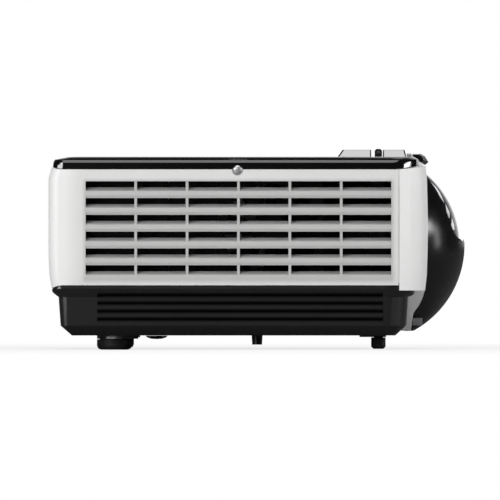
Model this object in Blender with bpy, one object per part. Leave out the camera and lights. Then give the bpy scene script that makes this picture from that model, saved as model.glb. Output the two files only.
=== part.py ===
"""Short throw projector as an assembly of separate pieces.

Metres. +X is the way the picture is thrown, +Y is away from the louvred side, +Z is up.
The origin is under the middle of the projector, on the surface that its feet stand on.
"""
import math

import bmesh
import bpy
from mathutils import Matrix, Vector

# Overall sizes
TOTAL_LENGTH = 0.2334
BODY_WIDTH = 0.2870
FOOT_HEIGHT = 0.0080
BASE_HEIGHT = 0.0281
BAND_HEIGHT = 0.0647
COVER_HEIGHT = 0.0072
DOME_PROUD = 0.0212

# Fits shared by the whole case
GAP = 0.0003
OVERRUN = 0.0010
WALL = 0.0024
BASE_WALL = 0.0026
REAR_CORNER = 0.0060
FRONT_CORNER = 0.0160

REAR_X = -TOTAL_LENGTH / 2
DOME_FRONT_X = TOTAL_LENGTH / 2
FRONT_X = DOME_FRONT_X - DOME_PROUD
NEAR_Y = -BODY_WIDTH / 2
FAR_Y = BODY_WIDTH / 2
BASE_Z = FOOT_HEIGHT
SEAM_LOW_Z = BASE_Z + BASE_HEIGHT
SEAM_HIGH_Z = SEAM_LOW_Z + BAND_HEIGHT
DECK_Z = SEAM_HIGH_Z + COVER_HEIGHT

# Lens axis and the dome around it
LENS_Y = -0.0450
LENS_RISE = 0.0225
LENS_Z = SEAM_LOW_Z + LENS_RISE
DOME_RADIUS = 0.0549
DOME_WALL = 0.0026
DOME_X = DOME_FRONT_X - DOME_RADIUS
LENS_CENTRE = (DOME_X, LENS_Y, LENS_Z)

WHITE = (0.71, 0.71, 0.70)
GLOSS_BLACK = (0.010, 0.010, 0.011)
SATIN_BLACK = (0.020, 0.020, 0.021)
RUBBER = (0.016, 0.016, 0.016)
STEEL = (0.56, 0.56, 0.57)
ALUMINIUM = (0.62, 0.63, 0.64)
GREY_PLASTIC = (0.16, 0.16, 0.17)
BOARD_GREEN = (0.020, 0.110, 0.050)
SENSOR_RED = (0.030, 0.004, 0.006)
LIGHT_GREY = (0.25, 0.27, 0.28)
TINTED_GLASS = (0.05, 0.05, 0.06)
LENS_GLASS = (0.10, 0.12, 0.16)
FILTER_GLASS = (0.30, 0.30, 0.34)


def clear_scene():
    for old in list(bpy.data.objects):
        bpy.data.objects.remove(old)


def face_outwards(bm):
    bmesh.ops.recalc_face_normals(bm, faces=bm.faces)
    if bm.calc_volume(signed=True) < 0:
        bmesh.ops.reverse_faces(bm, faces=bm.faces)


def solid(name, bm, colour, roughness, metallic=0.0, smooth_angle=math.radians(32)):
    """Turn a closed bmesh into a named object with its own finish."""
    bmesh.ops.remove_doubles(bm, verts=bm.verts, dist=GAP / 30)
    face_outwards(bm)
    mesh = bpy.data.meshes.new(name)
    bm.to_mesh(mesh)
    bm.free()
    mesh.shade_smooth()
    mesh.set_sharp_from_angle(angle=smooth_angle)
    piece = bpy.data.objects.new(name, mesh)
    bpy.context.scene.collection.objects.link(piece)
    finish = bpy.data.materials.new(name)
    finish.use_nodes = True
    shader = finish.node_tree.nodes["Principled BSDF"]
    shader.inputs["Base Color"].default_value = (*colour, 1.0)
    shader.inputs["Roughness"].default_value = roughness
    shader.inputs["Metallic"].default_value = metallic
    piece.data.materials.append(finish)
    return piece


def combine(piece, tool_bm, operation):
    """Join to, cut from or keep the common part of a piece and a second closed shape."""
    face_outwards(tool_bm)
    tool_mesh = bpy.data.meshes.new("tool")
    tool_bm.to_mesh(tool_mesh)
    tool_bm.free()
    tool = bpy.data.objects.new("tool", tool_mesh)
    bpy.context.scene.collection.objects.link(tool)
    modifier = piece.modifiers.new("shape", "BOOLEAN")
    modifier.operation = operation
    modifier.solver = "EXACT"
    modifier.object = tool
    bpy.context.view_layer.update()
    graph = bpy.context.evaluated_depsgraph_get()
    shaped = bpy.data.meshes.new_from_object(piece.evaluated_get(graph))
    shaped.name = piece.name
    piece.modifiers.remove(modifier)
    spent = piece.data
    piece.data = shaped
    bpy.data.meshes.remove(spent)
    bpy.data.objects.remove(tool)
    bpy.data.meshes.remove(tool_mesh)


def cut(piece, tool_bm):
    combine(piece, tool_bm, "DIFFERENCE")


def join(piece, tool_bm):
    combine(piece, tool_bm, "UNION")


def keep(piece, tool_bm):
    combine(piece, tool_bm, "INTERSECT")


def move_origin(piece, point):
    """Put a piece's own origin at a point, such as one on its joint's axis."""
    piece.data.transform(Matrix.Translation(-Vector(point)))
    piece.location = point


def fill_between(bm, rings, closed=False):
    """Skin a stack of point rings that all have the same count of points."""
    loops = [[bm.verts.new(point) for point in ring] for ring in rings]
    pairs = list(zip(loops, loops[1:]))
    if closed:
        pairs.append((loops[-1], loops[0]))
    else:
        bm.faces.new(loops[0][::-1])
        bm.faces.new(loops[-1])
    for lower, upper in pairs:
        for i in range(len(lower)):
            bm.faces.new((lower[i - 1], lower[i], upper[i], upper[i - 1]))
    return bm


def place(axis, across, up, along):
    """A point of an outline drawn square to an axis, at a distance along it."""
    if axis == "X":
        return (along, across, up)
    if axis == "Y":
        return (across, along, up)
    return (across, up, along)


def prism(outline, axis, start, end, bm=None):
    """An outline pushed straight along an axis."""
    if bm is None:
        bm = bmesh.new()
    rings = [[place(axis, a, b, along) for a, b in outline] for along in (start, end)]
    return fill_between(bm, rings)


def box(low, high, bm=None):
    outline = ((low[0], low[1]), (high[0], low[1]), (high[0], high[1]), (low[0], high[1]))
    return prism(outline, "Z", low[2], high[2], bm)


def arc(centre, radius, start, end, steps):
    """Points on an arc; angles in turns of the full circle."""
    points = []
    for step in range(steps + 1):
        angle = 2 * math.pi * (start + (end - start) * step / steps)
        points.append((centre[0] + radius * math.cos(angle), centre[1] + radius * math.sin(angle)))
    return points


def rounded(low, high, radius, steps=2):
    """A rectangle with round corners, as an outline."""
    corners = (
        (low[0] + radius, low[1] + radius, 0.5),
        (high[0] - radius, low[1] + radius, 0.75),
        (high[0] - radius, high[1] - radius, 0.0),
        (low[0] + radius, high[1] - radius, 0.25),
    )
    outline = []
    for across, up, turn in corners:
        outline += arc((across, up), radius, turn, turn + 0.25, steps)
    return outline


def disc_outline(centre, radius, sides):
    return arc(centre, radius, 0.0, (sides - 1) / sides, sides - 1)


def turned(profile, axis, centre, sides):
    """Spin a profile of (radius, distance along the axis) pairs; an end at radius 0 is a pole."""
    bm = bmesh.new()
    verts = [bm.verts.new(place(axis, centre[0] + r, centre[1], along)) for r, along in profile]
    edges = [bm.edges.new(pair) for pair in zip(verts, verts[1:])]
    if profile[0][0] > 0 or profile[-1][0] > 0:
        edges.append(bm.edges.new((verts[-1], verts[0])))
    bmesh.ops.spin(
        bm,
        geom=verts + edges,
        cent=place(axis, centre[0], centre[1], 0.0),
        axis=place(axis, 0.0, 0.0, 1.0),
        angle=2 * math.pi,
        steps=sides,
        use_merge=True,
    )
    bmesh.ops.remove_doubles(bm, verts=bm.verts, dist=GAP / 30)
    return bm


def rod(axis, centre, radius, start, end, sides=16, bm=None):
    """A plain round bar along an axis; the centre is given square to the axis."""
    if bm is None:
        bm = bmesh.new()
    return prism(disc_outline(centre, radius, sides), axis, start, end, bm)


def ball(radius, centre, sides, rings):
    """A sphere with its poles on the lens axis."""
    half_turn = [(math.pi * step / rings) for step in range(rings + 1)]
    profile = [(radius * math.sin(a), centre[0] - radius * math.cos(a)) for a in half_turn]
    profile[0] = (0.0, centre[0] - radius)
    profile[-1] = (0.0, centre[0] + radius)
    return turned(profile, "X", (centre[1], centre[2]), sides)


# Outline of the case seen from above, and how its wall is crowned
CORNER_STEPS = 4
CORNER_TIGHTEN_SHARE = 0.35
BAND_CROWN = 0.0018
SIDE_CROWN = 0.0004
SEAM_REAR_DROP = 0.0016
SEAM_FRONT_DROP = 0.0026
SEAM_REAR_RISE = 0.0011
SEAM_FRONT_RISE = 0.0020


def plan_ring(rear_inset, front_inset, side_inset, height, rear_rise=0.0, front_rise=0.0):
    """One loop round the case; its height bends away at the rear and front corners."""
    rear_radius = max(REAR_CORNER - CORNER_TIGHTEN_SHARE * side_inset, WALL / 4)
    front_radius = max(FRONT_CORNER - CORNER_TIGHTEN_SHARE * side_inset, WALL / 4)
    rear = REAR_X + rear_inset + rear_radius
    front = FRONT_X - front_inset - front_radius
    half = BODY_WIDTH / 2 - side_inset
    corners = (
        (rear, rear_radius - half, rear_radius, 0.5, rear_rise),
        (front, front_radius - half, front_radius, 0.75, front_rise),
        (front, half - front_radius, front_radius, 0.0, front_rise),
        (rear, half - rear_radius, rear_radius, 0.25, rear_rise),
    )
    ring = []
    for x, y, radius, turn, rise in corners:
        for px, py in arc((x, y), radius, turn, turn + 0.25, CORNER_STEPS):
            toward_end = abs(px - x) / radius
            ring.append((px, py, height + rise * toward_end ** 2))
    return ring


# Base pan: a tray whose wall steps in under its lip and is chamfered at the floor
BASE_TUCK = 0.0115
BASE_LIP_INSET = 0.0002
BASE_FRONT_SETBACK = 0.0079
BASE_REAR_TUCK_SHARE = 0.96
BASE_FRONT_TUCK_SHARE = 0.90
BASE_SHARES = ((1.0, 0.0), (0.43, 0.196), (0.33, 0.765), (0.10, 0.89), (0.0, 0.932), (0.0, 1.0))
LIP_START_SHARE = 0.85
FLOOR_Z = BASE_Z + BASE_WALL


def base_ring(tuck_share, height_share, inward):
    """A loop of the base's wall; inward is how far it lies inside the outer surface."""
    tuck = BASE_TUCK * tuck_share
    height = BASE_Z + BASE_HEIGHT * height_share
    bend = 1.0 if height_share > LIP_START_SHARE else 0.0
    return plan_ring(
        BAND_CROWN + BASE_LIP_INSET + tuck * BASE_REAR_TUCK_SHARE + inward,
        BASE_FRONT_SETBACK + tuck * BASE_FRONT_TUCK_SHARE + inward,
        SIDE_CROWN + BASE_LIP_INSET + tuck + inward,
        height,
        -SEAM_REAR_DROP * bend,
        -SEAM_FRONT_DROP * bend,
    )


def base_envelope(spare, headroom):
    """The whole space of the base, made larger all round by a clearance, and open upwards."""
    rings = [base_ring(tuck, height, -spare) for tuck, height in BASE_SHARES]
    rings[0] = [(x, y, z - spare) for x, y, z in rings[0]]
    rings[-1] = [(x, y, z + headroom) for x, y, z in rings[-1]]
    return fill_between(bmesh.new(), rings)


def base_side_y(height, side):
    """Where the base's outer side wall is at a height."""
    height_share = (height - BASE_Z) / BASE_HEIGHT
    (low_tuck, low), (high_tuck, high) = BASE_SHARES[1], BASE_SHARES[2]
    tuck_share = low_tuck + (high_tuck - low_tuck) * (height_share - low) / (high - low)
    return side * (BODY_WIDTH / 2 - SIDE_CROWN - BASE_LIP_INSET - BASE_TUCK * tuck_share)


GROOVE_COUNT = 4
GROOVE_HEIGHT = 0.0020
GROOVE_DEPTH = 0.0009
GROOVE_PITCH = 0.00437
GROOVE_LOWEST = 0.0086
GROOVE_REAR_MARGIN = 0.0274
GROOVE_START_X = REAR_X + GROOVE_REAR_MARGIN
GROOVE_FRONT_MARGIN = 0.0255
GROOVE_END_X = FRONT_X - GROOVE_FRONT_MARGIN
GROOVE_POINT = 0.0030

FOOT_SETBACK = 0.0367
FOOT_X = REAR_X + FOOT_SETBACK
FOOT_RADIUS = 0.0098
FOOT_SIDE_SETBACK = 0.0335
FOOT_SPREAD = BODY_WIDTH / 2 - FOOT_SIDE_SETBACK
FOOT_ROUNDING = 0.0022
FOOT_BOSS_HEIGHT = 0.0019
FOOT_BOSS_REAR = 0.0098
FOOT_BOSS_FRONT = 0.0134
FOOT_STEM_LENGTH = 0.0160
FRONT_FOOT_SETBACK = 0.0271
FRONT_FOOT_X = FRONT_X - FRONT_FOOT_SETBACK
FRONT_FOOT_LENGTH = 0.0081
FRONT_FOOT_WIDTH = 0.0220
FRONT_PLATE_REAR = 0.0106
FRONT_PLATE_FRONT = 0.0040
FRONT_PLATE_HEIGHT = 0.0013
FRONT_PLATE_SPARE = 0.0050
FRONT_FOOT_TOP_Z = 0.0400
BUMPER_LEAD = 0.0235
BUMPER_X = FOOT_X + BUMPER_LEAD
BUMPER_RADIUS = 0.0062
BUMPER_DEPTH = 0.0022
BUMPER_SHARES = ((0.5, 0.1), (0.85, 0.42))
BUMPER_PLACE_SHARE = 0.8
POST_RADIUS = 0.0032
POST_TIP_RADIUS = 0.00275
POST_DEPTH = 0.0054
POST_SPREAD = 0.0600
POST_SETBACK = 0.1166
POST_X = REAR_X + POST_SETBACK
POST_STEP = 0.0798
POST_BACK_X = POST_X - POST_STEP
POST_PLACES = ((POST_X, -POST_SPREAD), (POST_X, POST_SPREAD), (POST_BACK_X, 0.0))


def foot_boss(side):
    """A low pad on the floor's underside round a rear foot, longer towards the front."""
    outline = arc((FOOT_X, side * FOOT_SPREAD), FOOT_BOSS_REAR, 0.25, 0.75, 8)
    outline += arc((FOOT_X, side * FOOT_SPREAD), FOOT_BOSS_FRONT, -0.2, 0.2, 6)
    return prism(outline, "Z", BASE_Z - FOOT_BOSS_HEIGHT, BASE_Z + BASE_WALL / 2)


def make_base_pan():
    outer = [base_ring(tuck, height, 0.0) for tuck, height in BASE_SHARES]
    outer[-1] = [(x, y, z - GAP) for x, y, z in outer[-1]]
    inner = [base_ring(tuck, height, BASE_WALL) for tuck, height in reversed(BASE_SHARES[1:])]
    inner[0] = [(x, y, z - GAP) for x, y, z in inner[0]]
    floor = base_ring(BASE_SHARES[0][0], BASE_SHARES[0][1], BASE_WALL / 2)
    inner.append([(x, y, FLOOR_Z) for x, y, z in floor])
    pan = solid("base_pan", fill_between(bmesh.new(), outer + inner), SATIN_BLACK, 0.42)
    grooves = bmesh.new()
    for side in (-1, 1):
        for row in range(GROOVE_COUNT):
            middle = BASE_Z + GROOVE_LOWEST + row * GROOVE_PITCH
            low, high = middle - GROOVE_HEIGHT / 2, middle + GROOVE_HEIGHT / 2
            outline = (
                (GROOVE_START_X, middle),
                (GROOVE_START_X + GROOVE_POINT, low),
                (GROOVE_END_X - GROOVE_POINT, low),
                (GROOVE_END_X, middle),
                (GROOVE_END_X - GROOVE_POINT, high),
                (GROOVE_START_X + GROOVE_POINT, high),
            )
            deep = base_side_y(middle, side) - side * GROOVE_DEPTH
            prism(outline, "Y", deep, side * BODY_WIDTH / 2, grooves)
    cut(pan, grooves)
    for side in (-1, 1):
        join(pan, foot_boss(side))
    plate_low = (FRONT_FOOT_X - FRONT_PLATE_REAR, -FRONT_FOOT_WIDTH / 2 - FRONT_PLATE_SPARE)
    plate_high = (FRONT_FOOT_X + FRONT_PLATE_FRONT + GAP, FRONT_FOOT_WIDTH / 2 + FRONT_PLATE_SPARE)
    plate = rounded(plate_low, plate_high, FRONT_PLATE_HEIGHT)
    join(pan, prism(plate, "Z", BASE_Z - FRONT_PLATE_HEIGHT, BASE_Z + BASE_WALL / 2))
    for x, y in POST_PLACES:
        profile = ((0.0, BASE_Z - POST_DEPTH), (POST_TIP_RADIUS, BASE_Z - POST_DEPTH),
                   (POST_RADIUS, BASE_Z + BASE_WALL / 2), (0.0, BASE_Z + BASE_WALL / 2))
        join(pan, turned(profile, "Z", (x, y), 12))
    return pan


# Middle band: outer profile as (height, rear crown, front crown, side crown) shares
BAND_SHARES = (
    (0.0, 1.0, 0.9, 1.0),
    (0.09, 0.33, 0.4, 0.0),
    (0.25, 0.0, 0.2, 0.0),
    (0.5, 0.0, 0.0, 0.0),
    (0.75, 0.0, 0.2, 0.0),
    (0.92, 0.0, 0.35, 0.0),
    (1.0, 1.0, 0.75, 1.0),
)
WRAP = 0.0080
BEZEL_LENGTH = 0.0165
BEZEL_SEAM_X = FRONT_X - BEZEL_LENGTH


def band_ring(height_share, rear_share, front_share, side_share, inward):
    low = height_share == 0.0
    high = height_share == 1.0
    return plan_ring(
        BAND_CROWN * rear_share + inward,
        BAND_CROWN * front_share + inward,
        SIDE_CROWN * side_share + inward,
        SEAM_LOW_Z + BAND_HEIGHT * height_share,
        SEAM_REAR_RISE * high - SEAM_REAR_DROP * low,
        SEAM_FRONT_RISE * high - SEAM_FRONT_DROP * low,
    )


def band(name, low, high):
    """The stretch of the band's wall that lies inside a box seen from above."""
    outer = [band_ring(*shares, 0.0) for shares in BAND_SHARES]
    inner = [band_ring(*shares, WALL) for shares in reversed(BAND_SHARES)]
    piece = solid(name, fill_between(bmesh.new(), outer + inner, closed=True), WHITE, 0.38)
    keep(piece, box((*low, BASE_Z), (*high, DECK_Z + COVER_HEIGHT)))
    return piece


# Louvres: each blade has an upright front edge and a top that rises inwards
GRILLE_REAR_MARGIN = 0.0208
GRILLE_START_X = REAR_X + GRILLE_REAR_MARGIN
GRILLE_FRONT_MARGIN = 0.0042
GRILLE_END_X = BEZEL_SEAM_X - GRILLE_FRONT_MARGIN
GRILLE_TOP_DROP = 0.0066
LOUVRE_ROWS = 6
LOUVRE_COLUMNS = 6
LOUVRE_PITCH = 0.00938
BLADE_EDGE = 0.0038
BLADE_CHAMFER = 0.0008
BLADE_CHAMFER_HEIGHT = 0.0016
BLADE_DEPTH = 0.0064
BLADE_RISE = 0.0022
BLADE_BACK = 0.0013
RIB_WIDTH = 0.0015
RIB_SET_BACK = 0.0009
FAR_GRILLE_COLUMNS = 4


def louvre(piece, start_x, end_x, columns, side):
    """Cut a grille into a side wall and fill it with blades and upright ribs."""
    face = side * BODY_WIDTH / 2
    top = SEAM_HIGH_Z - GRILLE_TOP_DROP
    low = top - LOUVRE_ROWS * LOUVRE_PITCH + BLADE_EDGE
    ys = sorted((face + side * OVERRUN, face - side * (WALL + OVERRUN)))
    cut(piece, box((start_x, ys[0], low), (end_x, ys[1], top)))
    for row in range(1, LOUVRE_ROWS + 1):
        z = top - row * LOUVRE_PITCH
        back = face - side * BLADE_DEPTH
        crest = z + BLADE_EDGE + BLADE_RISE
        profile = (
            (face - side * BLADE_CHAMFER, z),
            (face, z + BLADE_CHAMFER_HEIGHT),
            (face, z + BLADE_EDGE),
            (back, crest),
            (back, crest - BLADE_BACK),
        )
        join(piece, prism(profile, "X", start_x - OVERRUN, end_x + OVERRUN))
    pitch = (end_x - start_x + RIB_WIDTH) / columns
    ribs = bmesh.new()
    front = face - side * RIB_SET_BACK
    ys = sorted((front, face - side * (BLADE_DEPTH - RIB_SET_BACK / 2)))
    for column in range(1, columns):
        x = start_x + column * pitch - RIB_WIDTH
        box((x, ys[0], low - OVERRUN), (x + RIB_WIDTH, ys[1], top + OVERRUN), ribs)
    join(piece, ribs)


SCREW_SETBACK = 0.1056
SCREW_X = REAR_X + SCREW_SETBACK
SCREW_DROP = 0.0004
SCREW_Z = SEAM_HIGH_Z - SCREW_DROP
SCREW_HEAD_RADIUS = 0.0027
SCREW_HEAD_HEIGHT = 0.0013
SCREW_SHANK_RADIUS = 0.0015
SCREW_LENGTH = 0.0120
SCREW_SLOT = 0.0008
SCREW_SLOT_DEPTH = 0.0006
SLOT_REACH_SHARE = 0.62
SCREW_SIDES = 16
EAR_THICKNESS = 0.0016
EAR_Y = NEAR_Y + SCREW_HEAD_HEIGHT + GAP
EAR_BACK_Y = EAR_Y + EAR_THICKNESS
BOSS_WIDTH = 0.0100
BOSS_DEPTH = 0.0070
BOSS_DROP = 0.0050


def make_lamp_cover():
    cover = band("lamp_cover", (REAR_X - OVERRUN, NEAR_Y - OVERRUN), (BEZEL_SEAM_X, NEAR_Y + WRAP))
    louvre(cover, GRILLE_START_X, GRILLE_END_X, LOUVRE_COLUMNS, -1)
    axis = (SCREW_X, SCREW_Z)
    ear_radius = SCREW_HEAD_RADIUS
    join(cover, rod("Y", axis, ear_radius, EAR_Y, EAR_BACK_Y, SCREW_SIDES))
    cut(cover, rod("Y", axis, ear_radius + GAP, NEAR_Y - OVERRUN, EAR_Y, SCREW_SIDES))
    cut(cover, rod("Y", axis, SCREW_SHANK_RADIUS + GAP, NEAR_Y, EAR_BACK_Y + OVERRUN, 12))
    return cover


def make_side_panel():
    low = (REAR_X - OVERRUN, FAR_Y - WRAP)
    panel = band("side_panel", low, (BEZEL_SEAM_X, FAR_Y + OVERRUN))
    length = (GRILLE_END_X - GRILLE_START_X) * FAR_GRILLE_COLUMNS / LOUVRE_COLUMNS
    louvre(panel, GRILLE_END_X - length, GRILLE_END_X, FAR_GRILLE_COLUMNS, 1)
    return panel


# Top cover: a shallow lid with a sloping margin, a focus slot between two hoods, and the keypad
COVER_SLOPE = 0.0156
COVER_END_INSET = 0.0005
COVER_SIDE_INSET = 0.0003
COVER_FRONT_SETBACK = 0.0034
COVER_FRONT_SLOPE_SHARE = 0.30
COVER_WALL = 0.0022
COVER_SHARES = ((0.0, 0.0), (0.03, 0.53), (0.08, 0.72), (0.52, 0.958), (1.0, 1.0))


def cover_ring(slope_share, height_share, inward, sink=0.0):
    slope = COVER_SLOPE * slope_share
    bend = 1.0 - height_share
    return plan_ring(
        BAND_CROWN + COVER_END_INSET + slope + inward,
        BAND_CROWN + COVER_FRONT_SETBACK + slope * COVER_FRONT_SLOPE_SHARE + inward,
        SIDE_CROWN + COVER_SIDE_INSET + slope + inward,
        SEAM_HIGH_Z + COVER_HEIGHT * height_share - sink,
        SEAM_REAR_RISE * bend,
        SEAM_FRONT_RISE * bend,
    )


def cover_envelope(spare):
    """The whole space of the lid, made larger all round by a clearance."""
    rings = [cover_ring(slope, height, -spare, -spare) for slope, height in COVER_SHARES]
    rings.insert(0, [(x, y, z - 2 * spare) for x, y, z in rings[0]])
    return fill_between(bmesh.new(), rings)


VISOR_SETBACK = 0.0083
VISOR_REAR_X = FRONT_X - VISOR_SETBACK
TOP_SENSOR_LENGTH = 0.0027
FOCUS_RING_LENGTH = 0.0090
FOCUS_RING_RADIUS = 0.0400
FOCUS_SWING = math.radians(20)
LEVER_LENGTH = 0.0041
LEVER_WIDTH = 0.0080
LEVER_REACH = 0.0541
SLOT_SPARE_REAR = 0.0021
SLOT_SPARE_FRONT = 0.0004
SLOT_HALF = LEVER_REACH * math.sin(FOCUS_SWING) + LEVER_WIDTH / 2 + 3 * GAP
HOOD_HEIGHT = 0.0041
HOOD_MARGIN = 0.0050
HOOD_SIDE_RUN = 0.0042
REAR_HOOD_LENGTH = 0.0198
REAR_HOOD_RUN = 0.0037
FRONT_HOOD_LENGTH = 0.0136
FRONT_HOOD_RUN = 0.0014
SLOT_FRONT_X = VISOR_REAR_X - GAP - TOP_SENSOR_LENGTH - FRONT_HOOD_LENGTH
LEVER_X = SLOT_FRONT_X - SLOT_SPARE_FRONT - LEVER_LENGTH / 2
SLOT_REAR_X = LEVER_X - LEVER_LENGTH / 2 - SLOT_SPARE_REAR

KEYPAD_SETBACK = 0.0717
KEYPAD_X = REAR_X + KEYPAD_SETBACK
KEYPAD_SIDE_SETBACK = 0.0935
KEYPAD_Y = FAR_Y - KEYPAD_SIDE_SETBACK
KEYPAD_LENGTH = 0.0480
KEYPAD_WIDTH = 0.0900
KEYPAD_CORNER = 0.0060
KEYPAD_SINK = 0.0006
KEYPAD_PLATE = 0.0009
KEYPAD_LEDGE = 0.0016
LIGHTS_LEAD = 0.0550
LIGHTS_X = KEYPAD_X + LIGHTS_LEAD
LIGHTS_Y = KEYPAD_Y
LIGHTS_LENGTH = 0.0040
LIGHTS_WIDTH = 0.0300


def hood(start_x, end_x, start_run, end_run):
    """A low raised block beside the focus slot; its outer end and both sides slope."""
    half = SLOT_HALF + HOOD_MARGIN
    z_low, z_high = DECK_Z - COVER_WALL / 2, DECK_Z + HOOD_HEIGHT
    side = HOOD_SIDE_RUN
    low = rounded((start_x, LENS_Y - half), (end_x, LENS_Y + half), side / 4, 2)
    high = rounded(
        (start_x + start_run, LENS_Y - half + side), (end_x - end_run, LENS_Y + half - side), side / 4, 2
    )
    rings = [[(x, y, z_low) for x, y in low], [(x, y, z_high) for x, y in high]]
    return fill_between(bmesh.new(), rings)


def make_top_cover():
    outer = [cover_ring(slope, height, 0.0) for slope, height in COVER_SHARES]
    outer[0] = [(x, y, z + GAP) for x, y, z in outer[0]]
    inner = [cover_ring(slope, height, COVER_WALL, COVER_WALL * height ** 2)
             for slope, height in reversed(COVER_SHARES)]
    inner[-1] = [(x, y, z + GAP) for x, y, z in inner[-1]]
    cover = solid("top_cover", fill_between(bmesh.new(), inner + outer), GLOSS_BLACK, 0.12)
    join(cover, hood(SLOT_REAR_X - REAR_HOOD_LENGTH, SLOT_REAR_X, REAR_HOOD_RUN, 0.0))
    join(cover, hood(SLOT_FRONT_X, SLOT_FRONT_X + FRONT_HOOD_LENGTH, 0.0, FRONT_HOOD_RUN))
    below, above = DECK_Z - COVER_WALL - OVERRUN, DECK_Z + OVERRUN
    cut(cover, box((SLOT_REAR_X, LENS_Y - SLOT_HALF, below), (SLOT_FRONT_X, LENS_Y + SLOT_HALF, above)))
    pocket_z = DECK_Z - KEYPAD_SINK - KEYPAD_PLATE - GAP
    cut(cover, prism(keypad_outline(GAP), "Z", pocket_z, above))
    cut(cover, prism(keypad_outline(-KEYPAD_LEDGE), "Z", below, above))
    cut(cover, prism(lights_outline(GAP), "Z", below, above))
    outside = NEAR_Y - OVERRUN
    boss_y = EAR_BACK_Y + GAP
    cut(cover, rod("Y", (SCREW_X, SCREW_Z), SCREW_HEAD_RADIUS + GAP, outside, boss_y, SCREW_SIDES))
    boss_low = (SCREW_X - BOSS_WIDTH / 2, boss_y, SEAM_HIGH_Z - BOSS_DROP)
    boss_high = (SCREW_X + BOSS_WIDTH / 2, boss_y + BOSS_DEPTH, DECK_Z - COVER_WALL / 2)
    join(cover, box(boss_low, boss_high))
    cut(cover, rod("Y", (SCREW_X, SCREW_Z), SCREW_SHANK_RADIUS + GAP, outside, boss_high[1] + OVERRUN, 12))
    return cover


def keypad_outline(spare):
    low = (KEYPAD_X - KEYPAD_LENGTH / 2 - spare, KEYPAD_Y - KEYPAD_WIDTH / 2 - spare)
    high = (KEYPAD_X + KEYPAD_LENGTH / 2 + spare, KEYPAD_Y + KEYPAD_WIDTH / 2 + spare)
    return rounded(low, high, KEYPAD_CORNER + spare)


def lights_outline(spare):
    low = (LIGHTS_X - LIGHTS_LENGTH / 2 - spare, LIGHTS_Y - LIGHTS_WIDTH / 2 - spare)
    high = (LIGHTS_X + LIGHTS_LENGTH / 2 + spare, LIGHTS_Y + LIGHTS_WIDTH / 2 + spare)
    return rounded(low, high, LIGHTS_LENGTH / 2, 4)


# Rear panel with its row of sockets; sizes are (width, height, depth)
MAIN_BOARD_Z = 0.0430
BOARD_THICKNESS = 0.0016
SOCKET_BASE_Z = MAIN_BOARD_Z + BOARD_THICKNESS + GAP
SOCKET_SETBACK = 0.0004
SOCKET_FACE_X = REAR_X + SOCKET_SETBACK
SOCKET_PLACE_SHARES = {
    "network_socket": -0.176,
    "audio_in_socket": -0.1115,
    "audio_out_socket": -0.0714,
    "serial_socket": 0.0139,
    "computer_socket": 0.1470,
    "video_socket": 0.2474,
}
SOCKET_SIZES = {
    "network_socket": (0.0160, 0.0135, 0.0135),
    "audio_in_socket": (0.0080, 0.0080, 0.0120),
    "audio_out_socket": (0.0080, 0.0080, 0.0120),
    "serial_socket": (0.0310, 0.0125, 0.0120),
    "computer_socket": (0.0310, 0.0125, 0.0120),
    "video_socket": (0.0152, 0.0064, 0.0120),
}
INLET_PLACE_SHARE = 0.3589
VENT_PLACE_SHARE = -0.3484
LOCK_PLACE_SHARE = 0.4425
INLET_Y = BODY_WIDTH * INLET_PLACE_SHARE
INLET_Z = 0.0560
INLET_WIDTH = 0.0280
INLET_HEIGHT = 0.0200
INLET_DEPTH = 0.0220
VENT_COUNT = 6
VENT_WIDTH = 0.0480
VENT_HEIGHT = 0.0024
VENT_PITCH = 0.0068
VENT_Y = BODY_WIDTH * VENT_PLACE_SHARE
LOCK_SLOT_WIDTH = 0.0070
LOCK_SLOT_HEIGHT = 0.0030
LOCK_SLOT_Y = BODY_WIDTH * LOCK_PLACE_SHARE


def socket_box(name, spare):
    """A socket's outer size as two corners."""
    y = BODY_WIDTH * SOCKET_PLACE_SHARES[name]
    width, height, depth = SOCKET_SIZES[name]
    low = (SOCKET_FACE_X, y - width / 2 - spare, SOCKET_BASE_Z - spare)
    return low, (SOCKET_FACE_X + depth, y + width / 2 + spare, SOCKET_BASE_Z + height + spare)


FILTER_THICKNESS = 0.0025
FILTER_MARGIN = 0.0020


def make_intake_filter():
    """The framed mesh pad behind the far louvres; it lies against the backs of their blades."""
    length = (GRILLE_END_X - GRILLE_START_X) * FAR_GRILLE_COLUMNS / LOUVRE_COLUMNS
    top = SEAM_HIGH_Z - GRILLE_TOP_DROP
    low = top - LOUVRE_ROWS * LOUVRE_PITCH + BLADE_EDGE
    face = FAR_Y - BLADE_DEPTH - GAP
    pad = box((GRILLE_END_X - length - FILTER_MARGIN, face - FILTER_THICKNESS, low - FILTER_MARGIN),
              (GRILLE_END_X + FILTER_MARGIN, face, top + FILTER_MARGIN))
    solid("intake_filter", pad, SATIN_BLACK, 0.9)


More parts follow.
